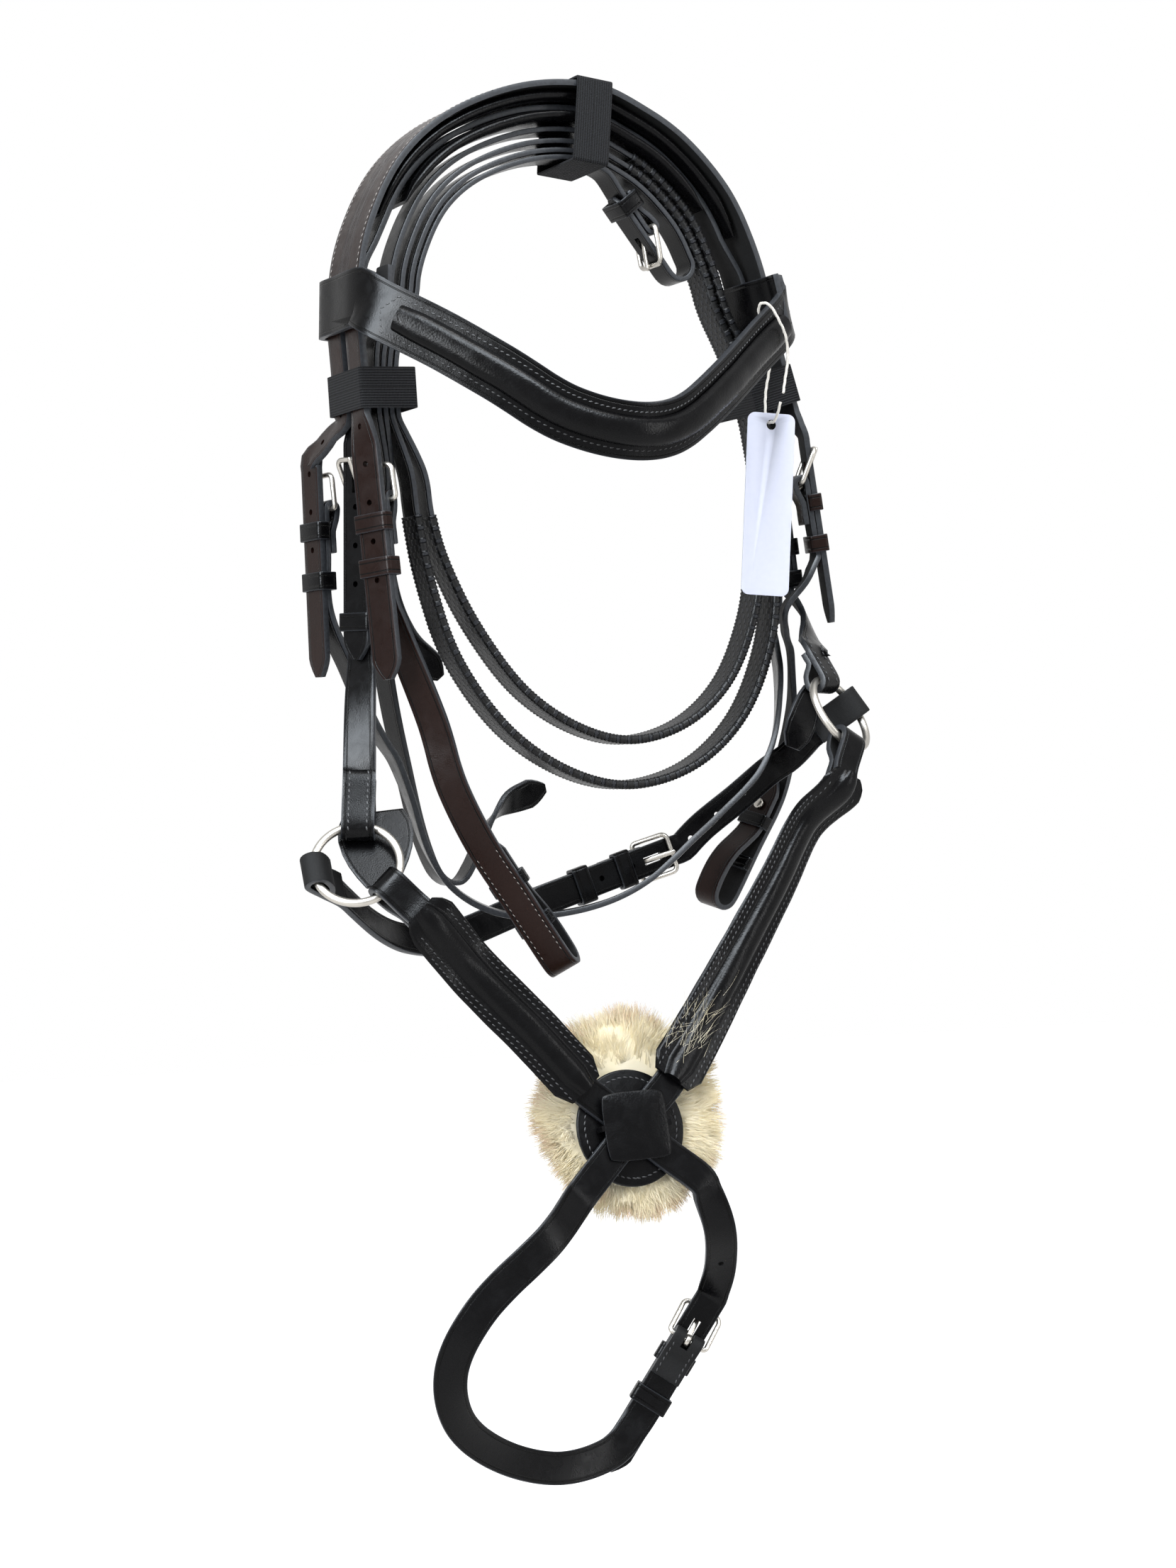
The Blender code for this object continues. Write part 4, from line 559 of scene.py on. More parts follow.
def merge(thing, distance=0.00002, fill_ends=False):
    """Weld corners that meet, fill open ends if asked, and turn the faces outwards."""
    only(thing)
    bpy.ops.object.mode_set(mode="EDIT")
    bpy.ops.mesh.select_all(action="SELECT")
    bpy.ops.mesh.remove_doubles(threshold=distance)
    if fill_ends:
        bpy.ops.mesh.select_all(action="DESELECT")
        bpy.ops.mesh.select_non_manifold()
        bpy.ops.mesh.edge_face_add()
        bpy.ops.mesh.select_all(action="SELECT")
    bpy.ops.mesh.normals_make_consistent(inside=False)
    bpy.ops.object.mode_set(mode="OBJECT")


def thicken(sheet, thickness, looks, rounding=0.0005, segments=2):
    """Give a sheet its thickness, with its own back and edge, and round its edges."""
    for look in looks:
        sheet.data.materials.append(look)
    solid = sheet.modifiers.new("Thickness", "SOLIDIFY")
    solid.thickness, solid.offset, solid.use_even_offset = thickness, 0, True
    solid.material_offset, solid.material_offset_rim = 1, 2
    bevel = sheet.modifiers.new("Rounded edges", "BEVEL")
    bevel.width, bevel.segments, bevel.limit_method = rounding, segments, "ANGLE"
    bevel.angle_limit = radians(50)
    apply_all(sheet)
    bpy.ops.object.shade_smooth_by_angle(angle=radians(40))
    return sheet


# %% [markdown]
# Sheets take three materials: one for the face, one for the back and one for the cut edge. A strap
# is the same call each time, so it gets a function that also cuts its points. An English point is
# a strap's end drawn in over four short stations.

# %% Straps and their points
LEATHER = (BLACK, FLESH, EDGE)
LEATHER_BOTH = (BLACK, BLACK, EDGE)
BROWN_LEATHER = (BROWN, FLESH, EDGE)


def turned_over(looks):
    """The same leather with its flesh side out."""
    return looks[1], looks[0], looks[2]


def tip_rows(end, before, width):
    """Stations past an end that carry the point of a strap."""
    along = (end[0] - before[0]).normalized()
    return [(end[0] + along * (width * k / 5), end[1]) for k in range(1, len(TIP_SHARES))]


def pointed(stations, width, start_tip, end_tip):
    """Stations and width shares of a strap with English points on its ends."""
    stations = list(stations)
    if start_tip:
        stations = tip_rows(stations[0], stations[1], width)[::-1] + stations
    if end_tip:
        stations = stations + tip_rows(stations[-1], stations[-2], width)
    shares = [1.0] * len(stations)
    for k, share in enumerate(TIP_SHARES):
        if start_tip:
            shares[len(TIP_SHARES) - 1 - k] = share
        if end_tip:
            shares[k - len(TIP_SHARES)] = share
    return stations, shares


def cut_strap(name, stations, looks=LEATHER, width=STRAP_W, thickness=STRAP_T, start_tip=False,
              end_tip=False, columns=8, outward=None, facing=None):
    """A finished strap and its path. The grain side faces outward half way along, or at a place
    given with a direction as facing."""
    path = Path(*pointed(stations, width, start_tip, end_tip))
    sheet = bend_sheet(name, path.stations, width, columns, path.shares)
    here = path.nearest(facing[0]) if facing else path.length / 2
    way = facing[1] if facing else Vector(outward or (0, 0, 0))
    if path.at(here)[2].dot(way) < 0:
        looks = turned_over(looks)
    return thicken(sheet, thickness, looks), path


# %% [markdown]
# Padded pieces and wire are closed in section, so their grid is rolled into a tube and its ends
# are filled.

# %% Tubes
def roll_tube(name, stations, outline, look, shares=None, closed=False, depths=None, ends=True,
              angle=50):
    """A grid rolled round an outline of (across, out) pairs and carried along stations."""
    spots = frames(stations, closed)
    spots = spots + [spots[0]] if closed else spots
    widths = list(shares or [1.0] * len(stations)) + [1.0]
    deeps = list(depths or [1.0] * len(stations)) + [1.0]
    lengths = lengths_along([s[0] for s in spots])
    columns = len(outline(0))
    grid, cells = add_grid(name, columns, len(spots) - 1)
    for vertex, (column, row) in zip(grid.data.vertices, cells):
        here, side, out, _ = spots[row]
        a, b = outline(row)[column % columns]
        vertex.co = here + side * (a * widths[row]) + out * (b * deeps[row])
    set_uv(grid, cells, lambda column, row: (outline(row)[column % columns][0], lengths[row]))
    merge(grid, fill_ends=ends and not closed)
    grid.data.materials.append(look)
    bpy.ops.object.shade_smooth_by_angle(angle=radians(angle))
    return grid


def oval(width, thickness, sides=16, square=2.0):
    """Outline of a rounded section; a higher square makes it boxier."""
    points = []
    for k in range(sides):
        turn = 2 * pi * (k + 0.5) / sides
        c, s = cos(turn), sin(turn)
        points.append((copysign(abs(c) ** (2 / square), c) * width / 2,
                       copysign(abs(s) ** (2 / square), s) * thickness / 2))
    return lambda row: points


# %% [markdown]
# Holes and slots are punched with a Boolean. All the cutters of one strap are joined first, so that
# the strap is cut once.

# %% Holes and cutters
def subtract(piece, cutter):
    """Take one object out of another, and remove it."""
    modifier = piece.modifiers.new("Punch", "BOOLEAN")
    modifier.operation = "DIFFERENCE"
    modifier.object = cutter
    modifier.solver = "EXACT"
    apply_all(piece)
    bpy.data.objects.remove(cutter)
    return piece


def join(name, pieces):
    """One object of several, under a new name."""
    only(pieces[0])
    for piece in pieces:
        piece.select_set(True)
    bpy.ops.object.join()
    joined = bpy.context.object
    joined.name = name
    return joined


def box_cutter(zone, low, high):
    """A cube between two corners given along, across and out in a zone."""
    cube = added(bpy.ops.mesh.primitive_cube_add, size=1)
    size = [b - a for a, b in zip(low, high)]
    centre = zone.at(*[(a + b) / 2 for a, b in zip(low, high)])
    turn = Matrix([zone.along, zone.across, zone.out]).transposed()
    cube.matrix_world = Matrix.LocRotScale(centre, turn, size)
    bpy.ops.object.transform_apply()
    return cube


def pin_cutter(here, out, radius, sides=16, depth=0.008):
    """A round cutter that stands on a place."""
    pin = added(bpy.ops.mesh.primitive_cylinder_add, vertices=sides, radius=radius, depth=depth,
                location=here, rotation=out.to_track_quat("Z", "Y").to_euler())
    bpy.ops.object.transform_apply()
    return pin


def punch(piece, path, distances, radius=0.0015):
    """Round holes through a strap at distances along it."""
    frames_there = [path.at(distance) for distance in distances]
    cutters = [pin_cutter(here, out, radius) for here, _, out, _ in frames_there]
    return subtract(piece, join("punches", cutters)) if cutters else piece


# %% [markdown]
# ## Stitching
#
# Saddle stitching is the detail that tells leather from plastic. One stitch is modelled, a short
# bead of thread, and copied along the strap at eight or nine stitches to the inch, each one
# leaning slightly the same way, as an awl cuts them.

# %% Stitches
STITCH_PITCH = 0.0031
# Half length, half width and half thickness of the three threads that are used.
STITCH, SEAM_STITCH, FINE_STITCH = ((0.0012, 0.0004, 0.00034), (0.0013, 0.0005, 0.0004),
                                    (0.0009, 0.00026, 0.00028))
AWL_LEAN = 0.22
bead = added(bpy.ops.mesh.primitive_uv_sphere_add, segments=6, ring_count=4, radius=1)
STITCH_POINTS = [v.co.copy() for v in bead.data.vertices]
STITCH_FACES = [tuple(p.vertices) for p in bead.data.polygons]
bpy.data.objects.remove(bead)
print("one stitch has", len(STITCH_FACES), "faces")


def new_piece(name, points, faces, look):
    """An object from its points and faces, for small things that come in thousands."""
    mesh = bpy.data.meshes.new(name)
    mesh.from_pydata(points, [], faces)
    mesh.uv_layers.new(name="UVMap")
    mesh.materials.append(look)
    mesh.shade_smooth()
    piece = bpy.data.objects.new(name, mesh)
    bpy.context.scene.collection.objects.link(piece)
    return piece


def two_rows(start, end, across):
    """Rows of stitches down both sides of a strap."""
    return [(start, end, side) for side in (-across, across)]


def sew(name, path, rows, look=BLACK_THREAD, lift=STRAP_T / 2, size=STITCH):
    """Stitches along a path. rows are (from, to, across), and a negative lift sews the back."""
    points, faces = [], []
    for start, end, across in rows:
        count = max(2, int((end - start) / STITCH_PITCH))
        for k in range(count + 1):
            here, side, out, along = path.at(start + (end - start) * k / count)
            here = here + side * across + out * lift
            lean = (along + side * AWL_LEAN).normalized()
            flat = out.cross(lean)
            first = len(points)
            points += [here + lean * (p.x * size[0]) + flat * (p.y * size[1])
                       + out * (p.z * size[2]) for p in STITCH_POINTS]
            faces += [tuple(first + i for i in f) for f in STITCH_FACES]
    return new_piece(name, points, faces, look)


def stand_for(node, pieces, body="root"):
    """Join a node's pieces into one, and let it take the node's place on its body."""
    piece = join(node + "_dressed", pieces) if len(pieces) > 1 else pieces[0]
    piece.name = node + "_dressed"
    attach(piece, body)
    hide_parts(node)
    print(node, len(piece.data.polygons), "faces")
    return piece


# %% [markdown]
# ## Buckles
#
# A bridle buckle sits in the turned end of one strap, the chape, and holds another, the billet.
# Every buckle here has a straight zone of its own: n = 0 is the middle of the billet, the chape
# lies behind it, and the bar hangs in the chape's turn.

# %% Zones and buckle places
class Zone:
    """A straight stretch: its origin, along, across and out directions."""

    def __init__(self, origin, along, across):
        self.origin = origin
        self.along = along.normalized()
        self.across = (across - self.along * across.dot(self.along)).normalized()
        self.out = self.along.cross(self.across)

    def at(self, u, w, n):
        return self.origin + self.along * u + self.across * w + self.out * n

    def line(self, places, n=0.0):
        return [(self.at(u, 0, n), self.across) for u in places]


def zone_between(start, end, turn, lean=0.0):
    return Zone(place(start), place(end) - place(start), turned(turn, lean))


BILLET_BACK = STRAP_T / 2
CHAPE_N = -(STRAP_T + GAP)
FOLD_R = WIRE_R + GAP + STRAP_T / 2
HINGE_N = CHAPE_N - FOLD_R
FAR_N = BILLET_BACK + GAP + WIRE_R
TUCKED_N = -(BILLET_BACK + GAP + TONGUE_T + GAP + WIRE_R)
RETURN_N = CHAPE_N - STRAP_T - GAP
RETURN_LEN = 0.022
FRAME_HALF = STRAP_W / 2 + 4 * GAP + WIRE_R
TONGUE_REST = WIRE_R + GAP + TONGUE_T / 2
SLOT_W = TONGUE_W + 4 * GAP
TONGUE_SWING = radians(6)
ZONE_TOP, ZONE_END = -0.025, 0.05
STRAIGHT_TOP = (ZONE_TOP, ZONE_TOP * 0.8)
FOLD_STEPS = 6
FIXED_U, RUNNER_U = 0.011, 0.036
HOLE_PITCH, CHAPE_SEAM = 0.019, 0.0056
BAR_CORNER, END_CORNER = 0.0022, 0.0032


def rounded(corners, radii, first, arc, steps):
    """Points round a rectangle, with an arc at each of its four corners."""
    middle_u, middle_w = [sum(corner[k] for corner in corners) / 4 for k in (0, 1)]
    points = []
    for (u, w), radius in zip(corners, radii):
        centre_u = u - copysign(radius, u - middle_u)
        centre_w = w - copysign(radius, w - middle_w)
        for k in range(steps + 1):
            turn = radians(first + arc * k / steps)
            points.append((centre_u + radius * cos(turn), centre_w + radius * sin(turn)))
        first += arc
    return points


def hoop_rows(centre, across, out, along, wide, deep, thickness):
    """Stations of a flat loop with rounded corners, such as a keeper."""
    corners = [(wide[w], deep[n]) for w, n in ((1, 1), (0, 1), (0, 0), (1, 0))]
    return [(centre + across * w + out * n, along)
            for w, n in rounded(corners, [thickness * 0.8] * 4, 0, 90, 4)]


# %% [markdown]
# A frame is round nickel wire with soft corners, so it is a tube closed on itself, and a tongue is
# a flattened bar curled round the frame's bar. Keepers are closed leather loops: fixed ones are
# sewn into the chape, and runners slide. One class makes all of it for every buckle.

# %% Buckles and keepers
class Buckle:
    """Frame, tongue, chape fold and keepers in one zone, for a billet at n = 0."""

    def __init__(self, name, zone, fastened=True):
        self.name, self.zone, self.fastened = name, zone, fastened
        self.hinge = zone.at(0, 0, HINGE_N)
        reach = zone.at(-BUCKLE_L, 0, FAR_N if fastened else TUCKED_N) - self.hinge
        self.reach, self.up = reach.length, reach.normalized()
        self.face = zone.across.cross(self.up)
        if self.face.dot(zone.out) < 0:
            self.face = -self.face

    def add_metal(self):
        """Frame and tongue, each standing for its node."""
        corners = [(e, w) for e, w in ((0.0, FRAME_HALF), (self.reach, FRAME_HALF),
                                       (self.reach, -FRAME_HALF), (0.0, -FRAME_HALF))]
        rows = [(self.hinge + self.up * e + self.zone.across * w, self.face)
                for e, w in rounded(corners, (BAR_CORNER, END_CORNER, END_CORNER, BAR_CORNER),
                                    180, -90, 6)]
        wire = roll_tube("wire", rows, oval(WIRE_R * 2, WIRE_R * 2, 14), NICKEL, closed=True)
        # The tongue curls two thirds of the way round the bar, then runs to a blunt point.
        turns = [radians(15 * k - 240) for k in range(17)]
        curl = [(TONGUE_REST * sin(turn), TONGUE_REST * cos(turn)) for turn in turns]
        curl += [(self.reach * share, TONGUE_REST) for share in (0.3, 0.6, 0.85, 1.0)]
        curl += [(self.reach + beyond, TONGUE_REST) for beyond in (0.001, 0.0017, 0.0022)]
        rows = [(self.hinge + self.up * e + self.face * n, self.zone.across) for e, n in curl]
        shares = [1.0] * (len(rows) - 5) + [0.9, 0.85, 0.8, 0.65, 0.35]
        bar = roll_tube("bar", rows, oval(TONGUE_W, TONGUE_T, 12, 3.0), NICKEL, shares,
                        depths=[1.0] * (len(rows) - 2) + [0.8, 0.5])
        frame_body = "root" if self.fastened else self.name + "_buckle"
        tongue_body = self.name + "_tongue" if self.fastened else frame_body
        stand_for(self.name + "_buckle", [wire], frame_body)
        stand_for(self.name + "_buckle_tongue", [bar], tongue_body)

    def slot_chape(self, chape):
        """The oblong hole in the turn that lets the tongue through."""
        reach = FOLD_R + STRAP_T
        return subtract(chape, box_cutter(self.zone, (-reach, -SLOT_W / 2, HINGE_N - reach),
                                          (TONGUE_REST + TONGUE_T, SLOT_W / 2, CHAPE_N + STRAP_T)))

    def slot_billet(self, billet):
        """The hole in the billet that the tongue is in, long enough for it to lift."""
        spots = []
        for swing in (0.0, TONGUE_SWING):
            slope = asin(self.up.dot(self.zone.out)) + swing
            reach = (-HINGE_N - TONGUE_REST * cos(slope)) / sin(slope)
            centre = TONGUE_REST * sin(slope) - reach * cos(slope)
            half = (STRAP_T / 2 + TONGUE_T / 2 / cos(slope)) / tan(slope)
            spots += [centre - half, centre + half]
        return subtract(billet, box_cutter(self.zone, (min(spots) - GAP, -SLOT_W / 2, -STRAP_T),
                                           (max(spots) + GAP, SLOT_W / 2, STRAP_T)))

    def chape_rows(self, end=ZONE_END):
        """Chape from the end of its stitched return, round the bar, to the straight's end."""
        zone = self.zone
        rows = [(zone.at(u, 0, RETURN_N), zone.across)
                for u in (RETURN_LEN, RETURN_LEN * 0.75, RETURN_LEN * 0.5)]
        rows.append((zone.at(RETURN_LEN * 0.25, 0, (RETURN_N + (HINGE_N - FOLD_R) * 2) / 3),
                     zone.across))
        for k in range(FOLD_STEPS + 1):
            turn = pi * k / FOLD_STEPS
            rows.append((zone.at(-FOLD_R * sin(turn), 0, HINGE_N - FOLD_R * cos(turn)),
                         zone.across))
        return rows + zone.line((RETURN_LEN * 0.4, RETURN_LEN, end), CHAPE_N)

    def keeper(self, u, back_n, looks=LEATHER, front_n=BILLET_BACK):
        """Closed leather loop round the layers between two depths."""
        half = STRAP_W / 2 + GAP + KEEPER_T / 2
        deep = (back_n - GAP - KEEPER_T / 2, front_n + GAP + KEEPER_T / 2)
        return make_keeper(self.zone, u, half, deep, looks)

    def fixed_keeper(self, u=FIXED_U, looks=LEATHER):
        """Keeper stitched into the chape."""
        return self.keeper(u, CHAPE_N + KEEPER_T / 2 + GAP, looks)

    def add_runner(self, u=RUNNER_U, back=CHAPE_N, slot="black_leather", looks=LEATHER):
        """Keeper that slides on the billet and the chape behind it."""
        loop = self.keeper(u, back - STRAP_T / 2, looks)
        stand_for(self.name + "_runner", [loop], self.name + "_runner")

    def chape_stitches(self, path):
        """Two rows through the chape and its return, seen on both sides."""
        far = path.nearest(self.zone.at(RETURN_LEN, 0, CHAPE_N))
        return [sew("sewing", path, two_rows(start, end, CHAPE_SEAM), lift=face * STRAP_T / 2)
                for start, end in ((0.002, 0.018), (far - 0.018, far - 0.001)) for face in (-1, 1)]


def make_keeper(zone, u, half, deep, looks, width=KEEPER_W):
    """A leather loop round a zone, with its grain side out."""
    rows = hoop_rows(zone.at(u, 0, 0), zone.across, zone.out, zone.along, (-half, half), deep,
                     KEEPER_T)
    loop = bend_sheet("loop", rows, width, 6, closed=True)
    centre = zone.at(u, 0, sum(deep) / 2)
    outside = sum(f.normal.dot(f.center - centre) for f in loop.data.polygons) > 0
    return thicken(loop, KEEPER_T, looks if outside else turned_over(looks), 0.0004)


def billet_holes(path, buckle, start, count, bar_share=0.8, keep_bar=False):
    """Distances of a billet's holes, counted from its buckle's bar. The hole at the bar itself is
    the slot that the tongue is in."""
    bar = path.nearest(buckle.zone.at(-BUCKLE_L * bar_share, 0, 0))
    holes = [bar + HOLE_PITCH * k for k in range(start, start + count) if k or keep_bar]
    return [hole for hole in holes if 0.012 < hole < path.length - 0.012]


# %% [markdown]
# ## Crown of the bridle
#
# At the top, eight layers lie on each other: headpiece, its padded roll, the noseband's headstrap,
# its roll, and four thicknesses of rein. They all follow one curve, each at its own depth.

# %% The crown's curve and its layers
CROWN_SHARES = (
    (-1.03, 1.5), (-1.045, 1.29), (-1.063, 1.03), (-1.025, 0.742), (-0.881, 0.428),
    (-0.644, 0.199), (-0.3, 0.042), (0.04, 0.0), (0.29, 0.07), (0.515, 0.19),
    (0.729, 0.394), (0.865, 0.64), (0.945, 0.877), (1.005, 1.097), (1.085, 1.335))
GRIP_T = REIN_T + 2 * (GRIP_WALL + GAP)
GRIP_LAYER, REIN_LAYER, LOOSE = GRIP_T + 2 * GAP, REIN_T + 2 * GAP, 0.0022
CROWN_LAYERS = (STRAP_T, ROLL_T, STRAP_T, NOSE_ROLL_T, GRIP_LAYER, GRIP_LAYER, REIN_LAYER,
                REIN_LAYER)
LEFT_LAYERS = (STRAP_T, LOOSE, STRAP_T, LOOSE, REIN_LAYER, REIN_LAYER, REIN_LAYER, REIN_LAYER)
RIGHT_LAYERS = (STRAP_T, LOOSE, STRAP_T, LOOSE, GRIP_LAYER, GRIP_LAYER)
BAND_CLEAR = 2 * GAP


def middle(layers, index):
    """Depth of the middle of one layer below the outer face of the stack."""
    return sum(layers[:index]) + index * GAP + layers[index] / 2


def stack(layers):
    return sum(layers) + (len(layers) - 1) * GAP


CROWN_TOP = stack(CROWN_LAYERS) + BAND_CLEAR + BAND_BOW + BAND_T
CROWN = spline([Vector((x * HALF_SPAN, 0, CROWN_TOP - z * HALF_SPAN)) for x, z in CROWN_SHARES], 3)
BACKWARD, INTO_WALL = Vector((0, -1, 0)), Vector((0, 1, 0))
CROWN_OUT = [spot[2] for spot in frames([(p, BACKWARD) for p in CROWN])]
CROWN_END = len(CROWN) - 1
CROWN_RUN = lengths_along(CROWN)
BAND_ZONE = BAND_W + 0.008
BROW_ZONE = BAND_ZONE + 0.012
BROW_END = BROW_ZONE + BROW_W + 0.003
FULL_ZONE = BROW_END + 0.028
REIN_FULL = BAND_ZONE + 0.04


def ramp(value, low, high):
    t = min(max((value - low) / (high - low), 0.0), 1.0)
    return t * t * (3 - 2 * t)


def crown_rows(left, crown, right, first=0, last=CROWN_END, low=BROW_END, high=FULL_ZONE):
    """Stations of one layer, whose depth changes from the left to the top to the right."""
    rows = []
    for i in range(first, last + 1):
        from_left, from_right = CROWN_RUN[i], CROWN_RUN[-1] - CROWN_RUN[i]
        side, run_in = (left, from_left) if from_left < from_right else (right, from_right)
        depth = side + (crown - side) * ramp(run_in, low, high)
        rows.append((CROWN[i] - CROWN_OUT[i] * depth, BACKWARD))
    return rows


def station_near(distance, from_right=False):
    target = CROWN_RUN[-1] - distance if from_right else distance
    return min(range(len(CROWN)), key=lambda i: abs(CROWN_RUN[i] - target))


PEG_STATION = station_near(CROWN_RUN[-1] * 0.545)

# %% [markdown]
# Six buckles hang below the crown: a cheek, a throat and a hanger buckle on each side. Each one's
# zone runs from a place above its bar to a place below it. The left cheek and throat buckles are
# unfastened, with their tongues tucked behind the billets.

# %% Buckles of the cheeks, the throat and the noseband's hangers
HEAD_BUCKLES = [
    Buckle(name, zone_between(top, bottom, turn), fastened)
    for name, top, bottom, turn, fastened in (
        ("left_cheek", (-0.992, -0.168, -0.4425), (-0.935, -0.233, -0.66), -62, False),
        ("left_throat", (-1.09, 0.29, -0.445), (-1.06, 0.275, -0.67), -82, False),
        ("left_hanger", (-0.984, 0.024, -0.43), (-0.98, 0.034, -0.64), -64, True),
        ("right_cheek", (1.17, -0.14, -0.385), (1.263, -0.14, -0.5375), 68, True),
        ("right_throat", (1.238, 0.33, -0.458), (1.247, 0.34, -0.6), 72, True),
        ("right_hanger", (1.164, 0.086, -0.44), (1.22, 0.088, -0.545), 71, True))]
LEFT_CHEEK, LEFT_THROAT, LEFT_HANGER, RIGHT_CHEEK, RIGHT_THROAT, RIGHT_HANGER = HEAD_BUCKLES
for buckle in HEAD_BUCKLES:
    buckle.add_metal()

# %% [markdown]
# ## Headpiece
#
# The headpiece is cut from one 38 mm strap of brown leather and slit into two billets on each side.
# Its two lanes and the web between them are sheets that share their edge stations, so welding makes
# them one before they get their thickness. The seams show along its outer edges.

# %% Headpiece
LEFT_CHEEK_TIP, LEFT_THROAT_TIP, RIGHT_CHEEK_TIP, RIGHT_THROAT_TIP = 0.078, 0.074, 0.066, 0.034
LANE, GREY_SEAM = HEAD_W / 2 - STRAP_W / 2, 0.0055
top_rows = crown_rows(STRAP_T / 2, STRAP_T / 2, STRAP_T / 2)


def billet_end(last_row, zone, tip):
    """A billet from the crown's end down through its buckle's zone to its point."""
    rows = run([last_row] + zone.line((ZONE_TOP,)), 3)[1:]
    rows += zone.line((STRAIGHT_TOP[1], 0.0, tip * 0.5, tip))
    return rows + tip_rows(rows[-1], rows[-2], STRAP_W)


lanes = []
for y, left, left_tip, right, right_tip in (
        (-LANE, LEFT_CHEEK, LEFT_CHEEK_TIP, RIGHT_CHEEK, RIGHT_CHEEK_TIP),
        (LANE, LEFT_THROAT, LEFT_THROAT_TIP, RIGHT_THROAT, RIGHT_THROAT_TIP)):
    across_crown = [(p + Vector((0, y, 0)), side) for p, side in top_rows]
    rows = (billet_end(across_crown[0], left.zone, left_tip)[::-1] + across_crown
            + billet_end(across_crown[-1], right.zone, right_tip))
    shares = [1.0] * len(rows)
    for k, share in enumerate(TIP_SHARES[::-1]):
        shares[k] = shares[-1 - k] = share
    lanes.append(Path(rows, shares))
web_from, web_to = [CROWN[station_near(BROW_ZONE + BROW_W / 2, from_right)]
                    for from_right in (False, True)]
web_rows = []
for here, _ in lanes[0].stations:
    flat = here + Vector((0, 2 * LANE, 0))
    twin = min(lanes[1].stations, key=lambda s: (s[0] - flat).length)
    if ((twin[0] - flat).length < 0.00001 and web_from.x <= here.x <= web_to.x
            and here.z > min(web_from.z, web_to.z) - 0.002):
        web_rows.append((here + Vector((0, LANE, 0)), BACKWARD))
head_parts = [bend_sheet("lane", lane.stations, STRAP_W, 6, lane.shares) for lane in lanes]
head_parts.append(bend_sheet("web", web_rows, HEAD_W - 2 * STRAP_W, 2))
headpiece = join("headpiece_sheet", head_parts)
merge(headpiece, 0.0002)
facing_up = max(headpiece.data.polygons, key=lambda p: p.center.z).normal.z > 0
thicken(headpiece, STRAP_T, BROWN_LEATHER if facing_up else turned_over(BROWN_LEATHER))

# %% [markdown]
# The right side is fastened, so its billets have a slot where the tongues are. Holes are punched at
# one pitch on both sides, and grey thread runs along the crown.

# %% Slots, holes and seams of the headpiece
RIGHT_CHEEK.slot_billet(headpiece)
RIGHT_THROAT.slot_billet(headpiece)
seams = []
for path, left, right, side in zip(lanes, (LEFT_CHEEK, LEFT_THROAT), (RIGHT_CHEEK, RIGHT_THROAT),
                                   (1, -1)):
    punch(headpiece, path, billet_holes(path, left, -3, 6, 1.0, keep_bar=True)
          + billet_holes(path, right, -3, 7))
    start, end = sorted(path.nearest(row[0] - Vector((0, LANE * side, 0)))
                        for row in (web_rows[0], web_rows[-1]))
    _, across, out, _ = path.at(path.length / 2)
    outer = -side if across.y > 0 else side
    seams.append(sew("crown_seam", path, [(start + 0.004, end - 0.004, outer * GREY_SEAM)],
                     GREY_THREAD, lift=copysign(STRAP_T / 2, out.z)))
stand_for("headpiece", [headpiece] + seams)

# %% [markdown]
# ## Padded rolls
#
# The crown's rolls are soft leather wrapped round felt and sewn shut underneath. A roll isn't a
# perfect tube: it is boxy where it is pressed between straps, and it swells and slackens a little
# along its length. The section is a rounded oblong, and small seeded waves move its skin.

# %% Rolls under the crown
def slacken(thing, size, amount):
    """Small soft unevenness of padded leather, moved along each point's own normal."""
    for vertex in thing.data.vertices:
        wave = noise.noise(vertex.co / size) * amount
        vertex.co = vertex.co + vertex.normal * wave


def padded_roll(name, index, thickness, margin):
    depth = middle(CROWN_LAYERS, index)
    rows = crown_rows(depth, depth, depth, station_near(margin), station_near(margin, True))
    scale = [1.0] * len(rows)
    scale[0] = scale[-1] = 0.35
    scale[1] = scale[-2] = 0.8
    path = Path(rows, scale)
    widths = [0.75 + 0.25 * min(1.0, share) for share in path.shares]
    roll = roll_tube(name, path.stations, oval(ROLL_W, thickness - 0.0002, 22, 3.2), SOFT, widths,
                     depths=path.shares, angle=80)
    slacken(roll, 0.011, 0.0002)
    stand_for(name, [roll])


padded_roll("headpiece_padding", 1, ROLL_T, FULL_ZONE)
padded_roll("noseband_headstrap_padding", 3, NOSE_ROLL_T, FULL_ZONE * 1.2)

# %% [markdown]
# ## Noseband headstrap
#
# The strap that carries the noseband lies under the headpiece's roll. It ends in a pointed billet
# on each side, and both are fastened in the hangers' buckles.

# %% Noseband headstrap
LEFT_HANGER_TIP, RIGHT_HANGER_TIP = 0.072, 0.024
rows = crown_rows(*[middle(layers, 2) for layers in (LEFT_LAYERS, CROWN_LAYERS, RIGHT_LAYERS)],
                  first=1)
start = LEFT_HANGER.zone.line((LEFT_HANGER_TIP, LEFT_HANGER_TIP / 2, 0.0, *STRAIGHT_TOP[::-1]))
end = RIGHT_HANGER.zone.line((*STRAIGHT_TOP, 0.0, RIGHT_HANGER_TIP / 2, RIGHT_HANGER_TIP))
headstrap, path = cut_strap("headstrap", start + rows + end, start_tip=True, end_tip=True,
                            outward=(0, 0, 1))
holes = set()
for buckle, first in ((LEFT_HANGER, -4), (RIGHT_HANGER, -3)):
    buckle.slot_billet(headstrap)
    holes.update(billet_holes(path, buckle, first, 7))
punch(headstrap, path, sorted(holes))
stand_for("noseband_headstrap", [headstrap])

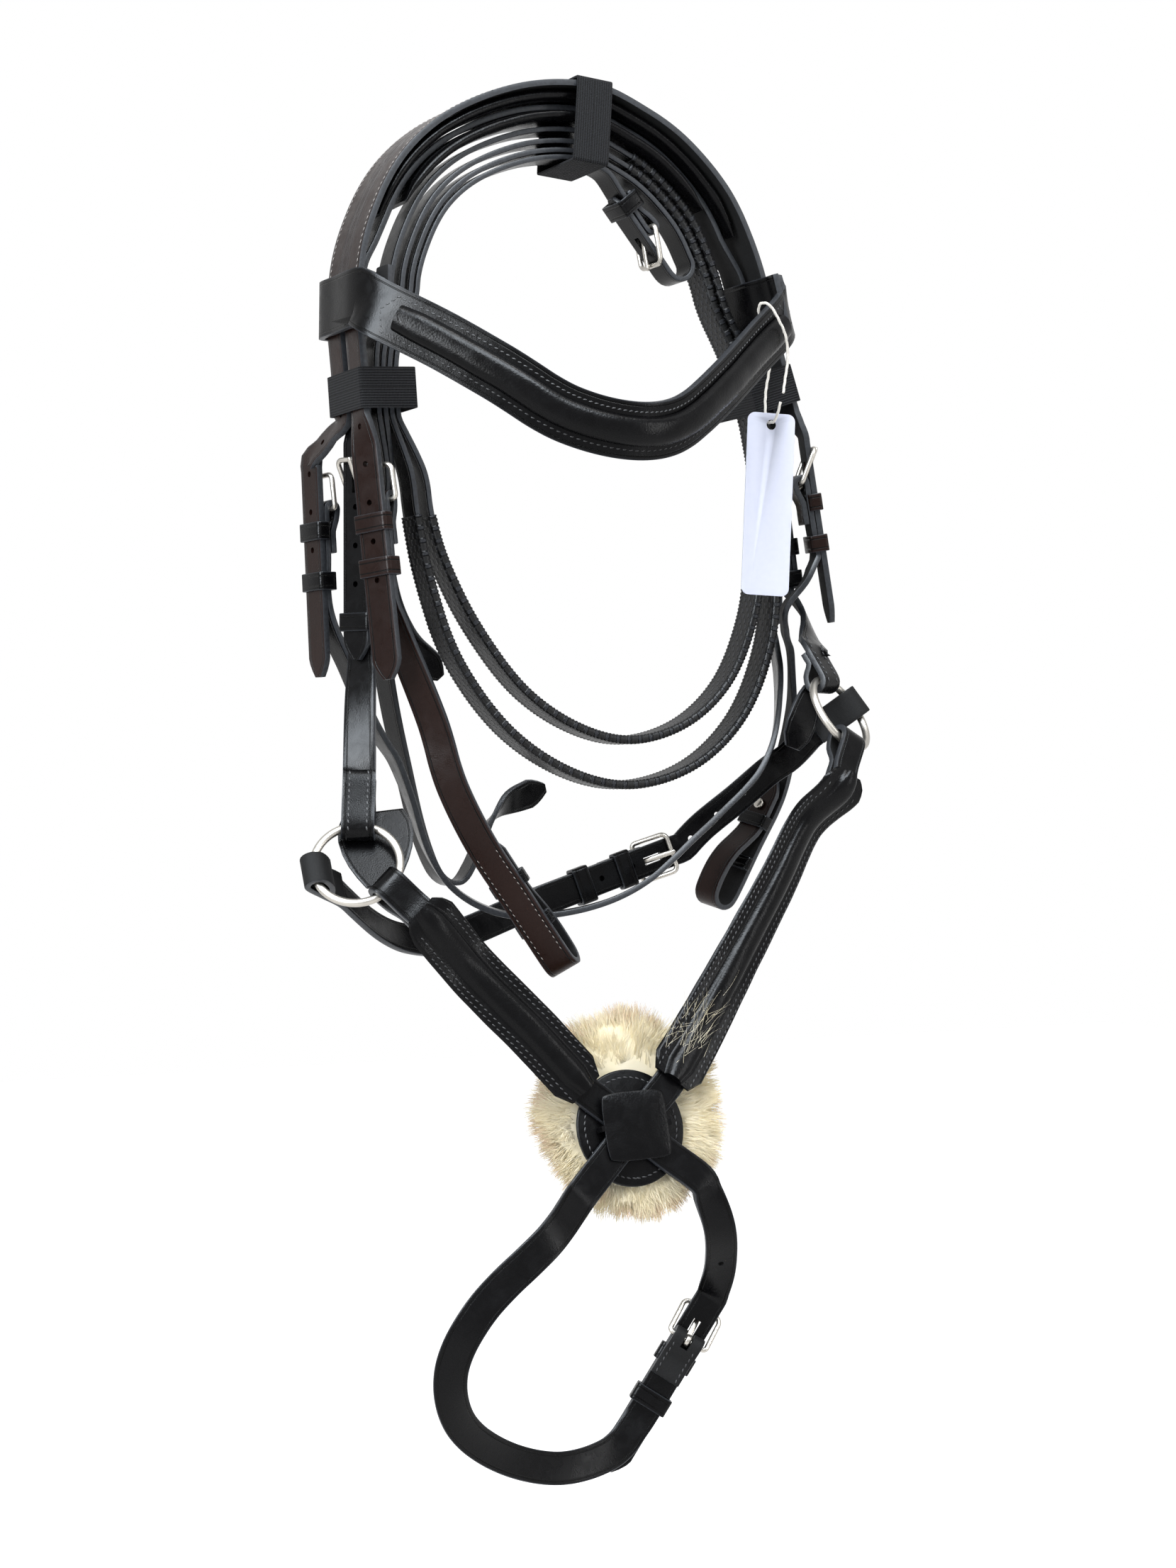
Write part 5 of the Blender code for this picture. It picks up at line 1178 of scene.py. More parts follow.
# %% [markdown]
# ## Rings and the straps that hang on them
#
# The noseband's two rings are plain nickel wire, 46 mm across, so a torus at its place and turn is
# all they need.

# %% Rings
FOLD_TAIL, SHORT_FOLD_TAIL = 0.024, 0.016


class Ring:
    def __init__(self, name, shares, turn, tilt):
        self.name, self.centre, self.right = name, place(shares), turned(turn)
        lean = radians(tilt)
        level = Vector((-self.right.y, self.right.x, 0))
        self.up = level * sin(lean) + Vector((0, 0, 1)) * cos(lean)

    def add(self):
        face = self.right.cross(self.up)
        ring = added(bpy.ops.mesh.primitive_torus_add, major_radius=RING_R,
                     minor_radius=RING_WIRE_R, major_segments=120, minor_segments=20,
                     location=self.centre, rotation=face.to_track_quat("Z", "Y").to_euler())
        bpy.ops.object.transform_apply()
        ring.data.materials.append(NICKEL)
        bpy.ops.object.shade_smooth()
        stand_for(self.name, [ring], self.name)

    def spoke(self, degrees):
        turn = radians(degrees)
        return (self.right * cos(turn) + self.up * sin(turn),
                self.up * cos(turn) - self.right * sin(turn))

    def behind(self, degrees, inward, back):
        """Direction of a strap that crosses behind the ring."""
        return self.right.cross(self.up) * -back - self.spoke(degrees)[0] * inward

    def fold(self, degrees, direction, flip=1, tail=FOLD_TAIL):
        """Rows of a strap folded round the wire, from its short end to its long end."""
        spoke, wire = self.spoke(degrees)
        sag = RING_R - sqrt(RING_R ** 2 - (STRAP_W / 2) ** 2)
        spot = self.centre + spoke * (RING_R - sag / 2)
        along = (direction - wire * direction.dot(wire)).normalized()
        out = wire.cross(along) * flip
        radius = RING_WIRE_R + sag / 2 + 2 * GAP + STRAP_T / 2
        closed_n = radius - STRAP_T - GAP
        rows = [(spot + along * reach + out * closed_n, wire)
                for reach in (tail, tail * 0.8, tail * 0.6)]
        rows.append((spot + along * (tail * 0.3) - out * (radius * 0.7), wire))
        for k in range(FOLD_STEPS + 1):
            bend = pi * k / FOLD_STEPS
            rows.append((spot - along * (radius * sin(bend)) - out * (radius * cos(bend)), wire))
        return rows + [(spot + along * reach + out * radius, wire)
                       for reach in (tail * 0.5, tail * 1.1)]


LEFT_RING = Ring("left_ring", (-1.085, -0.25, -0.884), -28, 30)
RIGHT_RING = Ring("right_ring", (1.197, -0.38, -0.695), 28.6, 31.6)
LEFT_RING.add()
RIGHT_RING.add()

# %% [markdown]
# A hanger starts with its buckle's chape, goes round the ring and comes back up behind for about
# 2 cm, with a seam down each side of the doubled part. Both hangers are the same strap at different
# places, so one loop makes them.

# %% Hangers
TIP_LEN = STRAP_W * (len(TIP_SHARES) - 1) / 5
for buckle, ring, shares, turns, tip, tail, keeper_u, outward in (
        (LEFT_HANGER, LEFT_RING, ((-0.99, -0.03, -0.69), (-1.015, -0.09, -0.765)), (-52, -38),
         LEFT_HANGER_TIP, FOLD_TAIL, LEFT_HANGER_TIP - KEEPER_W, Vector((-0.4, -1, 0))),
        (RIGHT_HANGER, RIGHT_RING, ((1.236, 0.045, -0.5575), (1.212, -0.07, -0.588)), (58, 42),
         RIGHT_HANGER_TIP, SHORT_FOLD_TAIL, FIXED_U, Vector((0.6, -1, 0)))):
    fold = ring.fold(90, place(shares[-1]) - ring.centre, flip=-1, tail=tail)[::-1]
    chape = buckle.chape_rows(tip + TIP_LEN + KEEPER_T)
    hanger, path = cut_strap("hanger", link(chape, table(shares, turns), fold, 3), outward=outward)
    buckle.slot_chape(hanger)
    parts = [hanger, buckle.fixed_keeper(keeper_u)] + buckle.chape_stitches(path)
    turn_at = path.nearest(fold[2][0])
    facing = path.at(turn_at - 0.01)[2].dot(outward)
    parts.append(sew("fold_seam", path, two_rows(turn_at - 0.026, turn_at + 0.002, 0.0045),
                     lift=copysign(STRAP_T / 2, facing), size=SEAM_STITCH))
    stand_for(buckle.name, parts)
RIGHT_HANGER.add_runner(RETURN_LEN + KEEPER_W / 2 + KEEPER_T)

# %% [markdown]
# ## Browband
#
# The browband is 28 mm wide and goes round the headpiece at each end in a loop. Its stations are
# the left loop, a curve that dips over the brow, and the right loop, so it is one strap like the
# others.

# %% Browband
BROW_SHARES = (
    (-1.03, -0.4, -0.221), (-0.84, -0.58, -0.258), (-0.628, -0.75, -0.302),
    (-0.401, -0.86, -0.345), (-0.141, -0.92, -0.363), (0.11, -0.88, -0.352),
    (0.365, -0.75, -0.305), (0.69, -0.52, -0.233), (0.92, -0.36, -0.18))
BROW_LEANS, BROW_SEAM, ARROW_L = (-52, -42, -34, -28, -18, 4, 26, 38, 48), 0.0093, 0.006
half = HEAD_W / 2 + GAP + STRAP_T / 2
outer = -(STRAP_T / 2 + 5 * GAP)
inner = 2 * STRAP_T + LOOSE + 2 * GAP + STRAP_T / 2 + 4 * GAP
brow_loops = []
for from_right in (False, True):
    i = station_near(BROW_ZONE + BROW_W / 2, from_right)
    along = (CROWN[i + 1] - CROWN[i - 1]).normalized() * (-1 if from_right else 1)
    spots = ((inner * 0.72, -1.95), (inner * 0.62, -1.48), (inner * 0.9, -1.06), (inner, -0.82),
             (inner, 0.0), (inner, 0.86), (inner * 0.75, 1.0), (outer * 0.3, 1.0), (outer, 0.86),
             (outer, 0.0), (outer, -0.9), (outer * 0.6, -1.25))
    brow_loops.append([(CROWN[i] - CROWN_OUT[i] * n + Vector((0, y * half, 0)), along)
                       for n, y in spots])
brow_front = []
for shares, lean in zip(BROW_SHARES, BROW_LEANS):
    sway = sin(radians(lean))
    brow_front.append((place(shares), Vector((sway * -0.55, -0.28, 1.0))))
left_loop, right_loop = brow_loops[0], brow_loops[1][::-1]
bridge = run([left_loop[-1]] + brow_front + [right_loop[0]], 3)
browband, brow_path = cut_strap("browband", left_loop[:-1] + bridge + right_loop[1:], width=BROW_W,
                                columns=12, outward=(0, -1, 0))

# %% [markdown]
# Across the brow it has a raised, padded strip, which covers half its width. The strip's section is
# a low dome, flat behind, so it is a tube with that outline.

# %% Padded strip of the browband
pad_rows = bridge[4:-4]
scale = [1.0] * len(pad_rows)
scale[0] = scale[-1] = 0.9
pad_path = Path(pad_rows, scale)
front = -1 if pad_path.at(pad_path.length / 2)[2].y > 0 else 1


def dome_rise(a, margin, sharp=2.4):
    """Height of a dome, 1 in its middle and 0 at its margin, at a share a of the width."""
    reach = abs(a) / (0.5 - margin)
    return (1 - reach ** sharp) ** (1 / sharp) if reach < 1 else 0.0


def dome(width, low, high, margin=0.0, back=(), steps=22, sign=1):
    """Outline of a padded strip: flat behind, with a dome and perhaps a flat margin in front."""
    points = []
    for k in range(steps + 1):
        a = -0.5 + k / steps
        rise = dome_rise(a, margin)
        lip = 0.3 * min(1.0, (0.5 - abs(a)) / 0.03) ** 0.5 if margin else 0.0
        points.append((a * width, sign * (low + (high - low) * max(rise, lip))))
    points += [(a * width, sign * low) for a in back]
    return lambda row: points


brow_low = STRAP_T / 2 + 2 * GAP
brow_pad = roll_tube("brow_pad", pad_path.stations,
                     dome(BROW_W * 0.52, brow_low, brow_low + BROW_PAD_T, sign=front),
                     SOFT, pad_path.shares, angle=70)
slacken(brow_pad, 0.013, 0.00025)
stand_for("browband_padding", [brow_pad])

# %% [markdown]
# A row of stitches runs along each side of the padded strip, and the rows close in a shallow arrow
# beyond its ends.

# %% Seams of the browband
brow_from, brow_to = (brow_path.nearest(pad_rows[k][0]) for k in (0, -1))
grain = 1 if brow_path.at((brow_from + brow_to) / 2)[2].y < 0 else -1
parts = [browband, sew("brow_seams", brow_path,
                       two_rows(brow_from - 0.004, brow_to + 0.004, BROW_SEAM),
                       lift=grain * STRAP_T / 2)]
for spot, way in ((brow_from - 0.004, 1), (brow_to + 0.004, -1)):
    _, across, out, along = brow_path.at(spot)
    for side in (-1, 1):
        arrow = Path([(brow_path.at(spot - way * ARROW_L * (1 - k / 3))[0]
                       + across * (side * BROW_SEAM * k / 3), along) for k in range(4)])
        parts.append(sew("arrow", arrow, [(0.0015, arrow.length, 0)],
                         lift=copysign(STRAP_T / 2, arrow.at(0.004)[2].dot(out) * grain)))
stand_for("browband", parts)

# %% [markdown]
# ## The noseband's crossed straps
#
# Two padded straps start at the rings, cross under a leather cap on the nose and go on as plain
# 16 mm straps, which buckle under the chin. Each padded front is a wider strip of soft leather
# with a high middle and thin sewn margins.

# %% The crossing
DISC_PLACE = place((-0.01, -0.7, -1.207))
NOSE_LEFT = ((-0.8, -0.4, -0.963), (-0.647, -0.45, -1.015), (-0.397, -0.54, -1.093),
             (-0.19, -0.625, -1.163))
NOSE_RIGHT = ((1.11, -0.43, -0.765), (0.96, -0.465, -0.835), (0.79, -0.505, -0.91),
              (0.56, -0.565, -1.005), (0.35, -0.62, -1.091), (0.165, -0.67, -1.157))
toward_left = (place(NOSE_LEFT[-1]) - DISC_PLACE).normalized()
toward_right = (place(NOSE_RIGHT[-1]) - DISC_PLACE).normalized()
disc_face = toward_left.cross(toward_right).normalized()
if disc_face.y > 0:
    disc_face = -disc_face
disc_down = -(toward_left + toward_right).normalized()
DISC = Zone(DISC_PLACE, disc_down, disc_face.cross(disc_down))
CROSS_N, CROSS_RUN = STRAP_T + GAP, 0.03
LOWER = Buckle("lower_nose",
               zone_between((0.356, -0.48, -1.4875), (0.014, -0.36, -1.6525), 152, 28))
LOWER_TIP, LOWER_STRAIGHT = 0.066, 0.044
LOWER.add_metal()


def cross_rows(start, level):
    """Straight rows through the crossing, from above it to below it."""
    across = DISC.out.cross(start)
    return [(DISC.origin + start * reach + DISC.out * level, across)
            for reach in (CROSS_RUN, CROSS_RUN * 0.5, 0.0, -CROSS_RUN * 0.75, -CROSS_RUN * 1.5)]


NOSE_MARGIN = 0.26


def nose_front(name, rows):
    """Padded front of a nose strap, and a seam down each of its margins."""
    scale = [1.0] * len(rows)
    scale[0], scale[1], scale[-1] = 0.6, 0.85, 0.7
    path = Path(rows, scale)
    sign = 1 if path.at(path.length / 2)[2].dot(DISC.out) > 0 else -1
    low = STRAP_T / 2 + 2 * GAP
    outline = dome(NOSE_PAD_W, low, low + NOSE_PAD_T, margin=NOSE_MARGIN, back=(0.276, -0.276),
                   steps=30, sign=sign)
    pad = roll_tube(name, path.stations, outline, SOFT, path.shares, angle=60)
    slacken(pad, 0.012, 0.0002)
    rows = (two_rows(0.009, path.length - 0.003, 0.0098)
            + two_rows(0.02, path.length - 0.014, 0.0126))
    seam = sew("margin_seam", path, rows, lift=sign * (low + NOSE_PAD_T * 0.3))
    stand_for(name, [pad, seam])
    return path, sign, low


# %% [markdown]
# The left strap folds round its ring, crosses the nose next to the face and goes on as the lower
# billet. It is plain leather from end to end, and the padded front lies on it.

# %% Left nose strap, which becomes the lower billet
fold = LEFT_RING.fold(-38, place(NOSE_LEFT[1]) - LEFT_RING.centre, flip=-1)
upper = [(place(s), DISC.out.cross(toward_left)) for s in NOSE_LEFT[1:-1]]
through = cross_rows(toward_left, 0.0)
ring_part = run(fold[-2:] + upper + [through[0]], 4)
lower = table(((0.365, -0.79, -1.335), (0.44, -0.65, -1.39)),
              ((-0.8, 0.42, -0.4), (-0.87, 0.46, -0.1)))
billet = LOWER.zone.line((*STRAIGHT_TOP, 0.0, LOWER_TIP / 2, LOWER_TIP))
strap, path = cut_strap("nose", fold[:-2] + ring_part[:-1] + link(through, lower, billet, 4),
                        end_tip=True, facing=(DISC.origin, DISC.out))
LOWER.slot_billet(strap)
punch(strap, path, billet_holes(path, LOWER, -2, 5))
stand_for("left_nose_strap", [strap])
nose_front("left_nose_padding", ring_part[2:])

# %% [markdown]
# The right strap crosses over the left one, one strap's thickness higher, and runs round under the
# chin to its buckle. Its directions across turn slowly, so that it lies flat all the way round.

# %% Right nose strap, which becomes the lower loop
fold = RIGHT_RING.fold(240, place(NOSE_RIGHT[1]) - RIGHT_RING.centre, flip=-1)
level_side = DISC.out.cross(toward_right)
upper = [(place(s), level_side.lerp(-turned(27, -25), share))
         for s, share in zip(NOSE_RIGHT[1:-1], (0.9, 0.8, 0.6, 0.3))]
through = cross_rows(toward_right, CROSS_N)
ring_part = run(fold[-2:] + upper + [through[0]], 4)
lower = table(
    ((-0.498, -0.93, -1.326), (-0.785, -0.94, -1.394), (-0.897, -0.86, -1.467),
     (-0.815, -0.74, -1.54), (-0.574, -0.62, -1.595), (-0.27, -0.53, -1.625),
     (0.0, -0.475, -1.617)),
    ((-0.44, 0.23, 0.85), (-0.73, 0.39, 0.5), (-0.88, 0.45, 0.1), (-0.66, 0.2, -0.6),
     (-0.4, -0.1, -0.85), (-0.1, -0.25, -0.95), (0.26, -0.35, -0.9)))
chape = LOWER.chape_rows(LOWER_STRAIGHT)[::-1]
strap, path = cut_strap("nose", fold[:-2] + ring_part[:-1] + link(through, lower, chape, 3),
                        facing=(DISC.origin + DISC.out * CROSS_N, DISC.out))
LOWER.slot_chape(strap)
parts = [strap, LOWER.fixed_keeper()] + LOWER.chape_stitches(Path(path.stations[::-1]))
stand_for("right_nose_strap", parts)
RIGHT_FRONT = nose_front("right_nose_padding", ring_part[2:])
LOWER.add_runner(RUNNER_U - KEEPER_T)

# %% [markdown]
# ## Disc and cap
#
# Behind the crossing is a round disc of firm leather, sewn all round its edge to the sheepskin, and
# over it a soft square cap that keeps the straps together. Flat pieces like these start as a
# filled circle whose corners are put on the outline, then get their thickness and rounded edge. The
# cap is a grid instead, because it is domed and pulled down at its corners.

# %% Flat pieces
def flat_piece(name, zone, outline, low, high, looks, rounding):
    """A filled outline of (along, across) pairs between two depths of a zone."""
    piece = added(bpy.ops.mesh.primitive_circle_add, vertices=len(outline), radius=1,
                  fill_type="NGON", calc_uvs=True)
    piece.name = name
    for vertex, (u, w) in zip(piece.data.vertices, outline):
        vertex.co = zone.at(u, w, (low + high) / 2)
    return thicken(piece, high - low, looks, rounding, 3)


BACKING_TOP = -(STRAP_T / 2 + GAP)
CAP_LOW = CROSS_N + STRAP_T / 2 + GAP
DISC_OVAL, SEAM_SHARE = 1.03, 0.86
rim = [(DISC_R * DISC_OVAL * cos(turn), DISC_R * sin(turn))
       for turn in [2 * pi * k / 96 for k in range(97)]]
disc = flat_piece("disc", DISC, rim[:-1], BACKING_TOP - DISC_T, BACKING_TOP, (BLACK, BLACK, EDGE),
                  0.0009)
ring_rows = [(DISC.at(u * SEAM_SHARE, w * SEAM_SHARE, BACKING_TOP),
              DISC.along * (u / DISC_R / DISC_OVAL) + DISC.across * (w / DISC_R)) for u, w in rim]
edge_path = Path(ring_rows, pitch=0.01)
disc_seam = sew("disc_seam", edge_path, [(0, edge_path.length - 0.002, 0)], lift=0.0,
                size=(0.0014, 0.00045, 0.0004))
stand_for("disc_backing", [disc, disc_seam])

# %% [markdown]
# The cap is a 36 mm square of soft leather, domed over the crossing. Its sides curve in a little
# and its corners are round, and two short legs join it to the disc on both sides of the straps.

# %% Cap over the crossing
CAP_CELLS, CAP_T = 24, 0.0012
cap, cells = add_grid("cap", CAP_CELLS, CAP_CELLS)
for vertex, (column, row) in zip(cap.data.vertices, cells):
    a, b = 2 * column / CAP_CELLS - 1, 2 * row / CAP_CELLS - 1
    reach = max(abs(a), abs(b))
    pull = 1 - 0.05 * (1 - min(abs(a), abs(b)) ** 2) * reach ** 4 - 0.12 * (abs(a * b)) ** 3
    rise = 0.9 * (1 - reach ** 3) + 0.1
    vertex.co = DISC.at(a * CAP_HALF * 0.98 * pull, b * CAP_HALF * 0.98 * pull,
                        CAP_LOW + CAP_T / 2 + (DISC_T - 0.0014) * rise)
set_uv(cap, cells, lambda column, row: (
    CAP_HALF * (1 - max(abs(2 * column / CAP_CELLS - 1), abs(2 * row / CAP_CELLS - 1))),
    row * 2 * CAP_HALF / CAP_CELLS))
cap_looks = (SOFT, FLESH, EDGE)
if cap.data.polygons[0].normal.dot(DISC.out) < 0:
    cap_looks = turned_over(cap_looks)
thicken(cap, CAP_T, cap_looks, 0.0004)
legs = []
for sign in (-1, 1):
    ends = sorted((sign * CAP_HALF * 0.8, sign * CAP_HALF * 1.02))
    leg = box_cutter(DISC, (-DISC_R * 0.05, ends[0], BACKING_TOP + GAP),
                     (DISC_R * 0.05, ends[1], CAP_LOW + DISC_T / 2))
    leg.data.materials.append(SOFT)
    legs.append(leg)
stand_for("disc_cover", [cap] + legs)

# %% [markdown]
# ## Sheepskin
#
# The pad is a piece of fleece with its wool left long. A rounded body gives it bulk and colour in
# depth. It starts as a sphere, pressed flat and let out in soft locks round its rim.

# %% Body of the pad
FLEECE_UP, FLEECE_ASIDE = 0.009, 0.005
fleece_zone = Zone(DISC.at(-FLEECE_UP, FLEECE_ASIDE, 0), DISC.along, DISC.across)
fleece_top = BACKING_TOP - DISC_T - GAP


def fleece_reach(turn):
    """How far the fleece goes out in one direction: a round with seven soft locks."""
    wave = 1 + 0.035 * (sin(7 * turn) + 0.6 * cos(3 * turn + 1))
    return Vector((FLEECE_R * 1.06 * cos(turn), FLEECE_R * sin(turn))) * wave


def fleece_spot(turn, z, shrink=1.0):
    """A point on the body: turn round the pad, and z from 1 in front to -1 behind."""
    level = fleece_top - FLEECE_T / 2 + copysign(abs(z) ** 0.5, z) * FLEECE_T * 0.41
    reach = fleece_reach(turn) * (max(0.0, 1 - z * z) ** 0.42 * 0.85 * shrink)
    return fleece_zone.at(reach.x, reach.y, level)


fleece = added(bpy.ops.mesh.primitive_uv_sphere_add, segments=96, ring_count=48, radius=1)
for vertex in fleece.data.vertices:
    turn = atan2(vertex.co.y, vertex.co.x)
    curl = noise.noise(Vector((cos(turn), sin(turn), vertex.co.z)) * 5)
    vertex.co = fleece_spot(turn, max(-1.0, min(1.0, vertex.co.z)), 1 + 0.05 * curl)
fleece.data.materials.append(WOOL)
for loop in fleece.data.uv_layers.active.data:
    loop.uv = (0.0, 0.0)
merge(fleece)
bpy.ops.object.shade_smooth()

# %% [markdown]
# The wool itself is thousands of tapering ribbons, each of five short faces, too many to be added
# one by one, so their points and faces are written out in one mesh. They grow in locks that lie
# outwards and a little down. Locks at the rim may have tan tips, and none grow under the disc.

# %% Wool
random.seed(11)
LOCKS, STRANDS_EACH = 620, 26
points, faces, tans = [], [], []


def grow(root, heading, facing, length, thick, tawny, bend, steps=5):
    """One strand: a tapering ribbon that lies flat to facing and curves towards bend."""
    first = len(points)
    spot = root.copy()
    for k in range(steps + 1):
        t = k / steps
        side = heading.cross(facing).normalized() * (thick * (1 - 0.85 * t))
        points.extend((spot - side, spot + side))
        tans.extend((tawny * t ** 1.5,) * 2)
        heading = (heading + bend * (0.35 / steps)).normalized()
        spot = spot + heading * (length / steps)
    for k in range(steps):
        a = first + 2 * k
        faces.append((a, a + 1, a + 3, a + 2))


def scatter(amount):
    return Vector((random.gauss(0, amount), random.gauss(0, amount), random.gauss(0, amount)))


for k in range(LOCKS):
    # Each lock has one direction, and its strands lean together at their tips.
    turn = random.uniform(0, 2 * pi)
    z = random.uniform(-0.85, 0.86)
    outward = fleece_zone.along * cos(turn) + fleece_zone.across * sin(turn)
    lift = fleece_zone.out * (1 if z > 0 else -1)
    rim = 1 - ramp(abs(z), 0.15, 0.7)
    lock = (outward * (0.9 + 0.5 * rim) + lift * (0.42 - 0.3 * rim) + scatter(0.22)).normalized()
    tan_lock = random.random() < 0.42 * rim
    length = random.uniform(0.0075, 0.0115)
    for _ in range(STRANDS_EACH):
        root = fleece_spot(turn + random.gauss(0, 0.05),
                           max(-0.9, min(0.87, z + random.gauss(0, 0.07))), 0.97)
        facing = (lift * (1 - 0.6 * rim) + outward * (0.6 * rim) + scatter(0.2)).normalized()
        inward = root - DISC.origin
        if z > 0 and (inward - DISC.out * inward.dot(DISC.out)).length < DISC_R * 0.97:
            continue
        tawny = random.uniform(0.4, 1.0) if tan_lock else random.uniform(0.0, 0.1)
        grow(root, (lock + scatter(0.14)).normalized(), facing,
             length * random.uniform(0.75, 1.15), random.uniform(0.00018, 0.00034), tawny,
             scatter(0.35) + Vector((0, 0, -0.15)))

# %% [markdown]
# A few loose hairs have worked their way onto the right strap above the cap and lie on its padded
# front. They are the same ribbons, only longer and much finer, and join the wool's mesh.

# %% Loose locks over the right strap
front_path, front_sign, front_low = RIGHT_FRONT
upward_left = DISC.out.cross(toward_right).normalized()
LOOSE_HAIRS = 85
for _ in range(LOOSE_HAIRS):
    here, side, out, along = front_path.at(front_path.length - 0.026 - random.gauss(0.0, 0.009))
    out, along = out * front_sign, -along
    side = side if side.dot(upward_left) > 0 else -side
    aside = random.gauss(0.006, 0.0045)
    rise = max(0.3, dome_rise(aside / NOSE_PAD_W, NOSE_MARGIN))
    root = here + side * aside + out * (front_low + NOSE_PAD_T * rise + random.uniform(0, 0.001))
    heading = (along * random.uniform(0.5, 1.2) + side * random.gauss(-0.1, 0.45)).normalized()
    bend = side * random.gauss(0, 1.0) + along * random.gauss(0, 0.5)
    grow(root, heading, out, random.uniform(0.008, 0.017), 0.00006, 0.0, bend, 8)

wool = new_piece("wool", points, faces, WOOL)
for loop, corner in zip(wool.data.loops, wool.data.uv_layers.active.data):
    corner.uv = (tans[loop.vertex_index], 0.0)
stand_for("sheepskin_pad", [fleece, wool])

# %% [markdown]
# ## Cheekpieces
#
# A cheekpiece buckles to the headpiece at its top, and its lower end folds back through the bit's
# ring and hooks on a stud behind. The bit is gone, so the fold is an open loop. Two keepers hold
# the returned end, and grey thread runs up both sides from the fold.

# %% Cheekpieces
LOOP_R, LOOP_RETURN = 0.0075, 0.06
LEG_N = -(STRAP_T + KEEPER_T + 2 * GAP)
STUD_U, STUD_R, BIT_KEEPER_U, LOW_KEEPER_U = -0.053, 0.003, -0.044, -0.02


def bit_loop(zone):
    """Strap that turns back on itself to hold a bit."""
    rows = []
    for k in range(FOLD_STEPS + 1):
        turn = pi * k / FOLD_STEPS
        rows.append((zone.at(LOOP_R * sin(turn), 0, -LOOP_R + LOOP_R * cos(turn)), zone.across))
    for back, n in zip((0.2, 0.3667, 0.5333, 0.65, 1.0),
                       (LOOP_R * -2.05, LOOP_R * -1.75, LOOP_R * -1.1, LEG_N - GAP, LEG_N)):
        rows.append((zone.at(-LOOP_RETURN * back, 0, n), zone.across))
    return rows


HOLD_W = KEEPER_W * 0.8
for side, buckle, loop, main, straight, shares, turns in (
        ("left", LEFT_CHEEK, zone_between((-0.514, -0.23, -0.862), (-0.2, -0.32, -1.005), -34),
         0.0687, 0.05, ((-0.828, -0.14, -0.625), (-0.707, -0.16, -0.713),
                         (-0.636, -0.19, -0.787)), (-54, -46, -40)),
        ("right", RIGHT_CHEEK, zone_between((1.174, 0.24, -0.805), (0.944, 0.29, -0.939), 108),
         0.0604, 0.04, ((1.15, -0.13, -0.5175), (1.108, -0.025, -0.55),
                         (1.16, 0.089, -0.58), (1.216, 0.144, -0.6075),
                         (1.246, 0.182, -0.645), (1.257, 0.208, -0.6875),
                         (1.24, 0.232, -0.745)), (66, 64, 62, 62, 64, 72, 90))):
    end = Zone(loop.at(main, 0, 0), loop.along, loop.across)
    chape = buckle.chape_rows(straight)
    rows = [chape[-1]] + table(shares, turns) + loop.line((0, main * 0.5))
    facing = (end.at(-0.02, 0, 0), end.out)
    cheek, path = cut_strap("cheek", chape[:-1] + run(rows, 3) + bit_loop(end), BROWN_LEATHER,
                            end_tip=True, facing=facing)
    grain_out = path.at(path.nearest(facing[0]))[2].dot(end.out)
    buckle.slot_chape(cheek)
    parts = [cheek, buckle.fixed_keeper(looks=BROWN_LEATHER)] + buckle.chape_stitches(path)
    for u, back in ((BIT_KEEPER_U, LEG_N - STRAP_T / 2), (LOW_KEEPER_U, LEG_N + STRAP_T / 2)):
        deep = (back - GAP - KEEPER_T / 2, -(STRAP_T / 2 + KEEPER_T / 2 - GAP))
        parts.append(make_keeper(end, u, STRAP_W / 2 + GAP + KEEPER_T / 2, deep, LEATHER, HOLD_W))
    turn_at = path.nearest(end.at(0, 0, 0))
    parts.append(sew("cheek_seam", path, two_rows(turn_at - 0.062, turn_at - 0.004, GREY_SEAM),
                     GREY_THREAD, lift=copysign(STRAP_T / 2, grain_out), size=FINE_STITCH))
    punch(cheek, path, [path.length - (STRAP_W * 0.6) - (LOOP_RETURN + STUD_U)], 0.0018)
    stand_for(side + "_cheekpiece", parts)
    # The hook stud: a thin shaft and a domed head behind the returned end.
    back = LEG_N - STRAP_T / 2 - 2 * GAP
    levels = ((-(STRAP_T / 2 + GAP), 0.4), (back + GAP, 0.4), (back + GAP / 2, 0.9), (back, 1.0),
              (back - STUD_R * 0.3, 0.98), (back - STUD_R * 0.5, 0.86),
              (back - STUD_R * 0.65, 0.55), (back - STUD_R * 0.7, 0.2))
    sizes = [share for _, share in levels]
    stud = roll_tube("stud", [(end.at(STUD_U, 0, n), end.along) for n, _ in levels],
                     oval(STUD_R * 2, STUD_R * 2, 24), NICKEL, sizes, depths=sizes)
    stand_for(side + "_hook_stud", [stud])
for buckle in (LEFT_CHEEK, RIGHT_CHEEK):
    buckle.add_runner(RUNNER_U - 2 * KEEPER_T, slot="brown_leather", looks=BROWN_LEATHER)

# %% [markdown]
# ## Throat lash
#
# The throat lash is one long plain strap with a buckle at each end. It hangs in a loose curve
# behind everything else, black on both sides because it is seen from both.

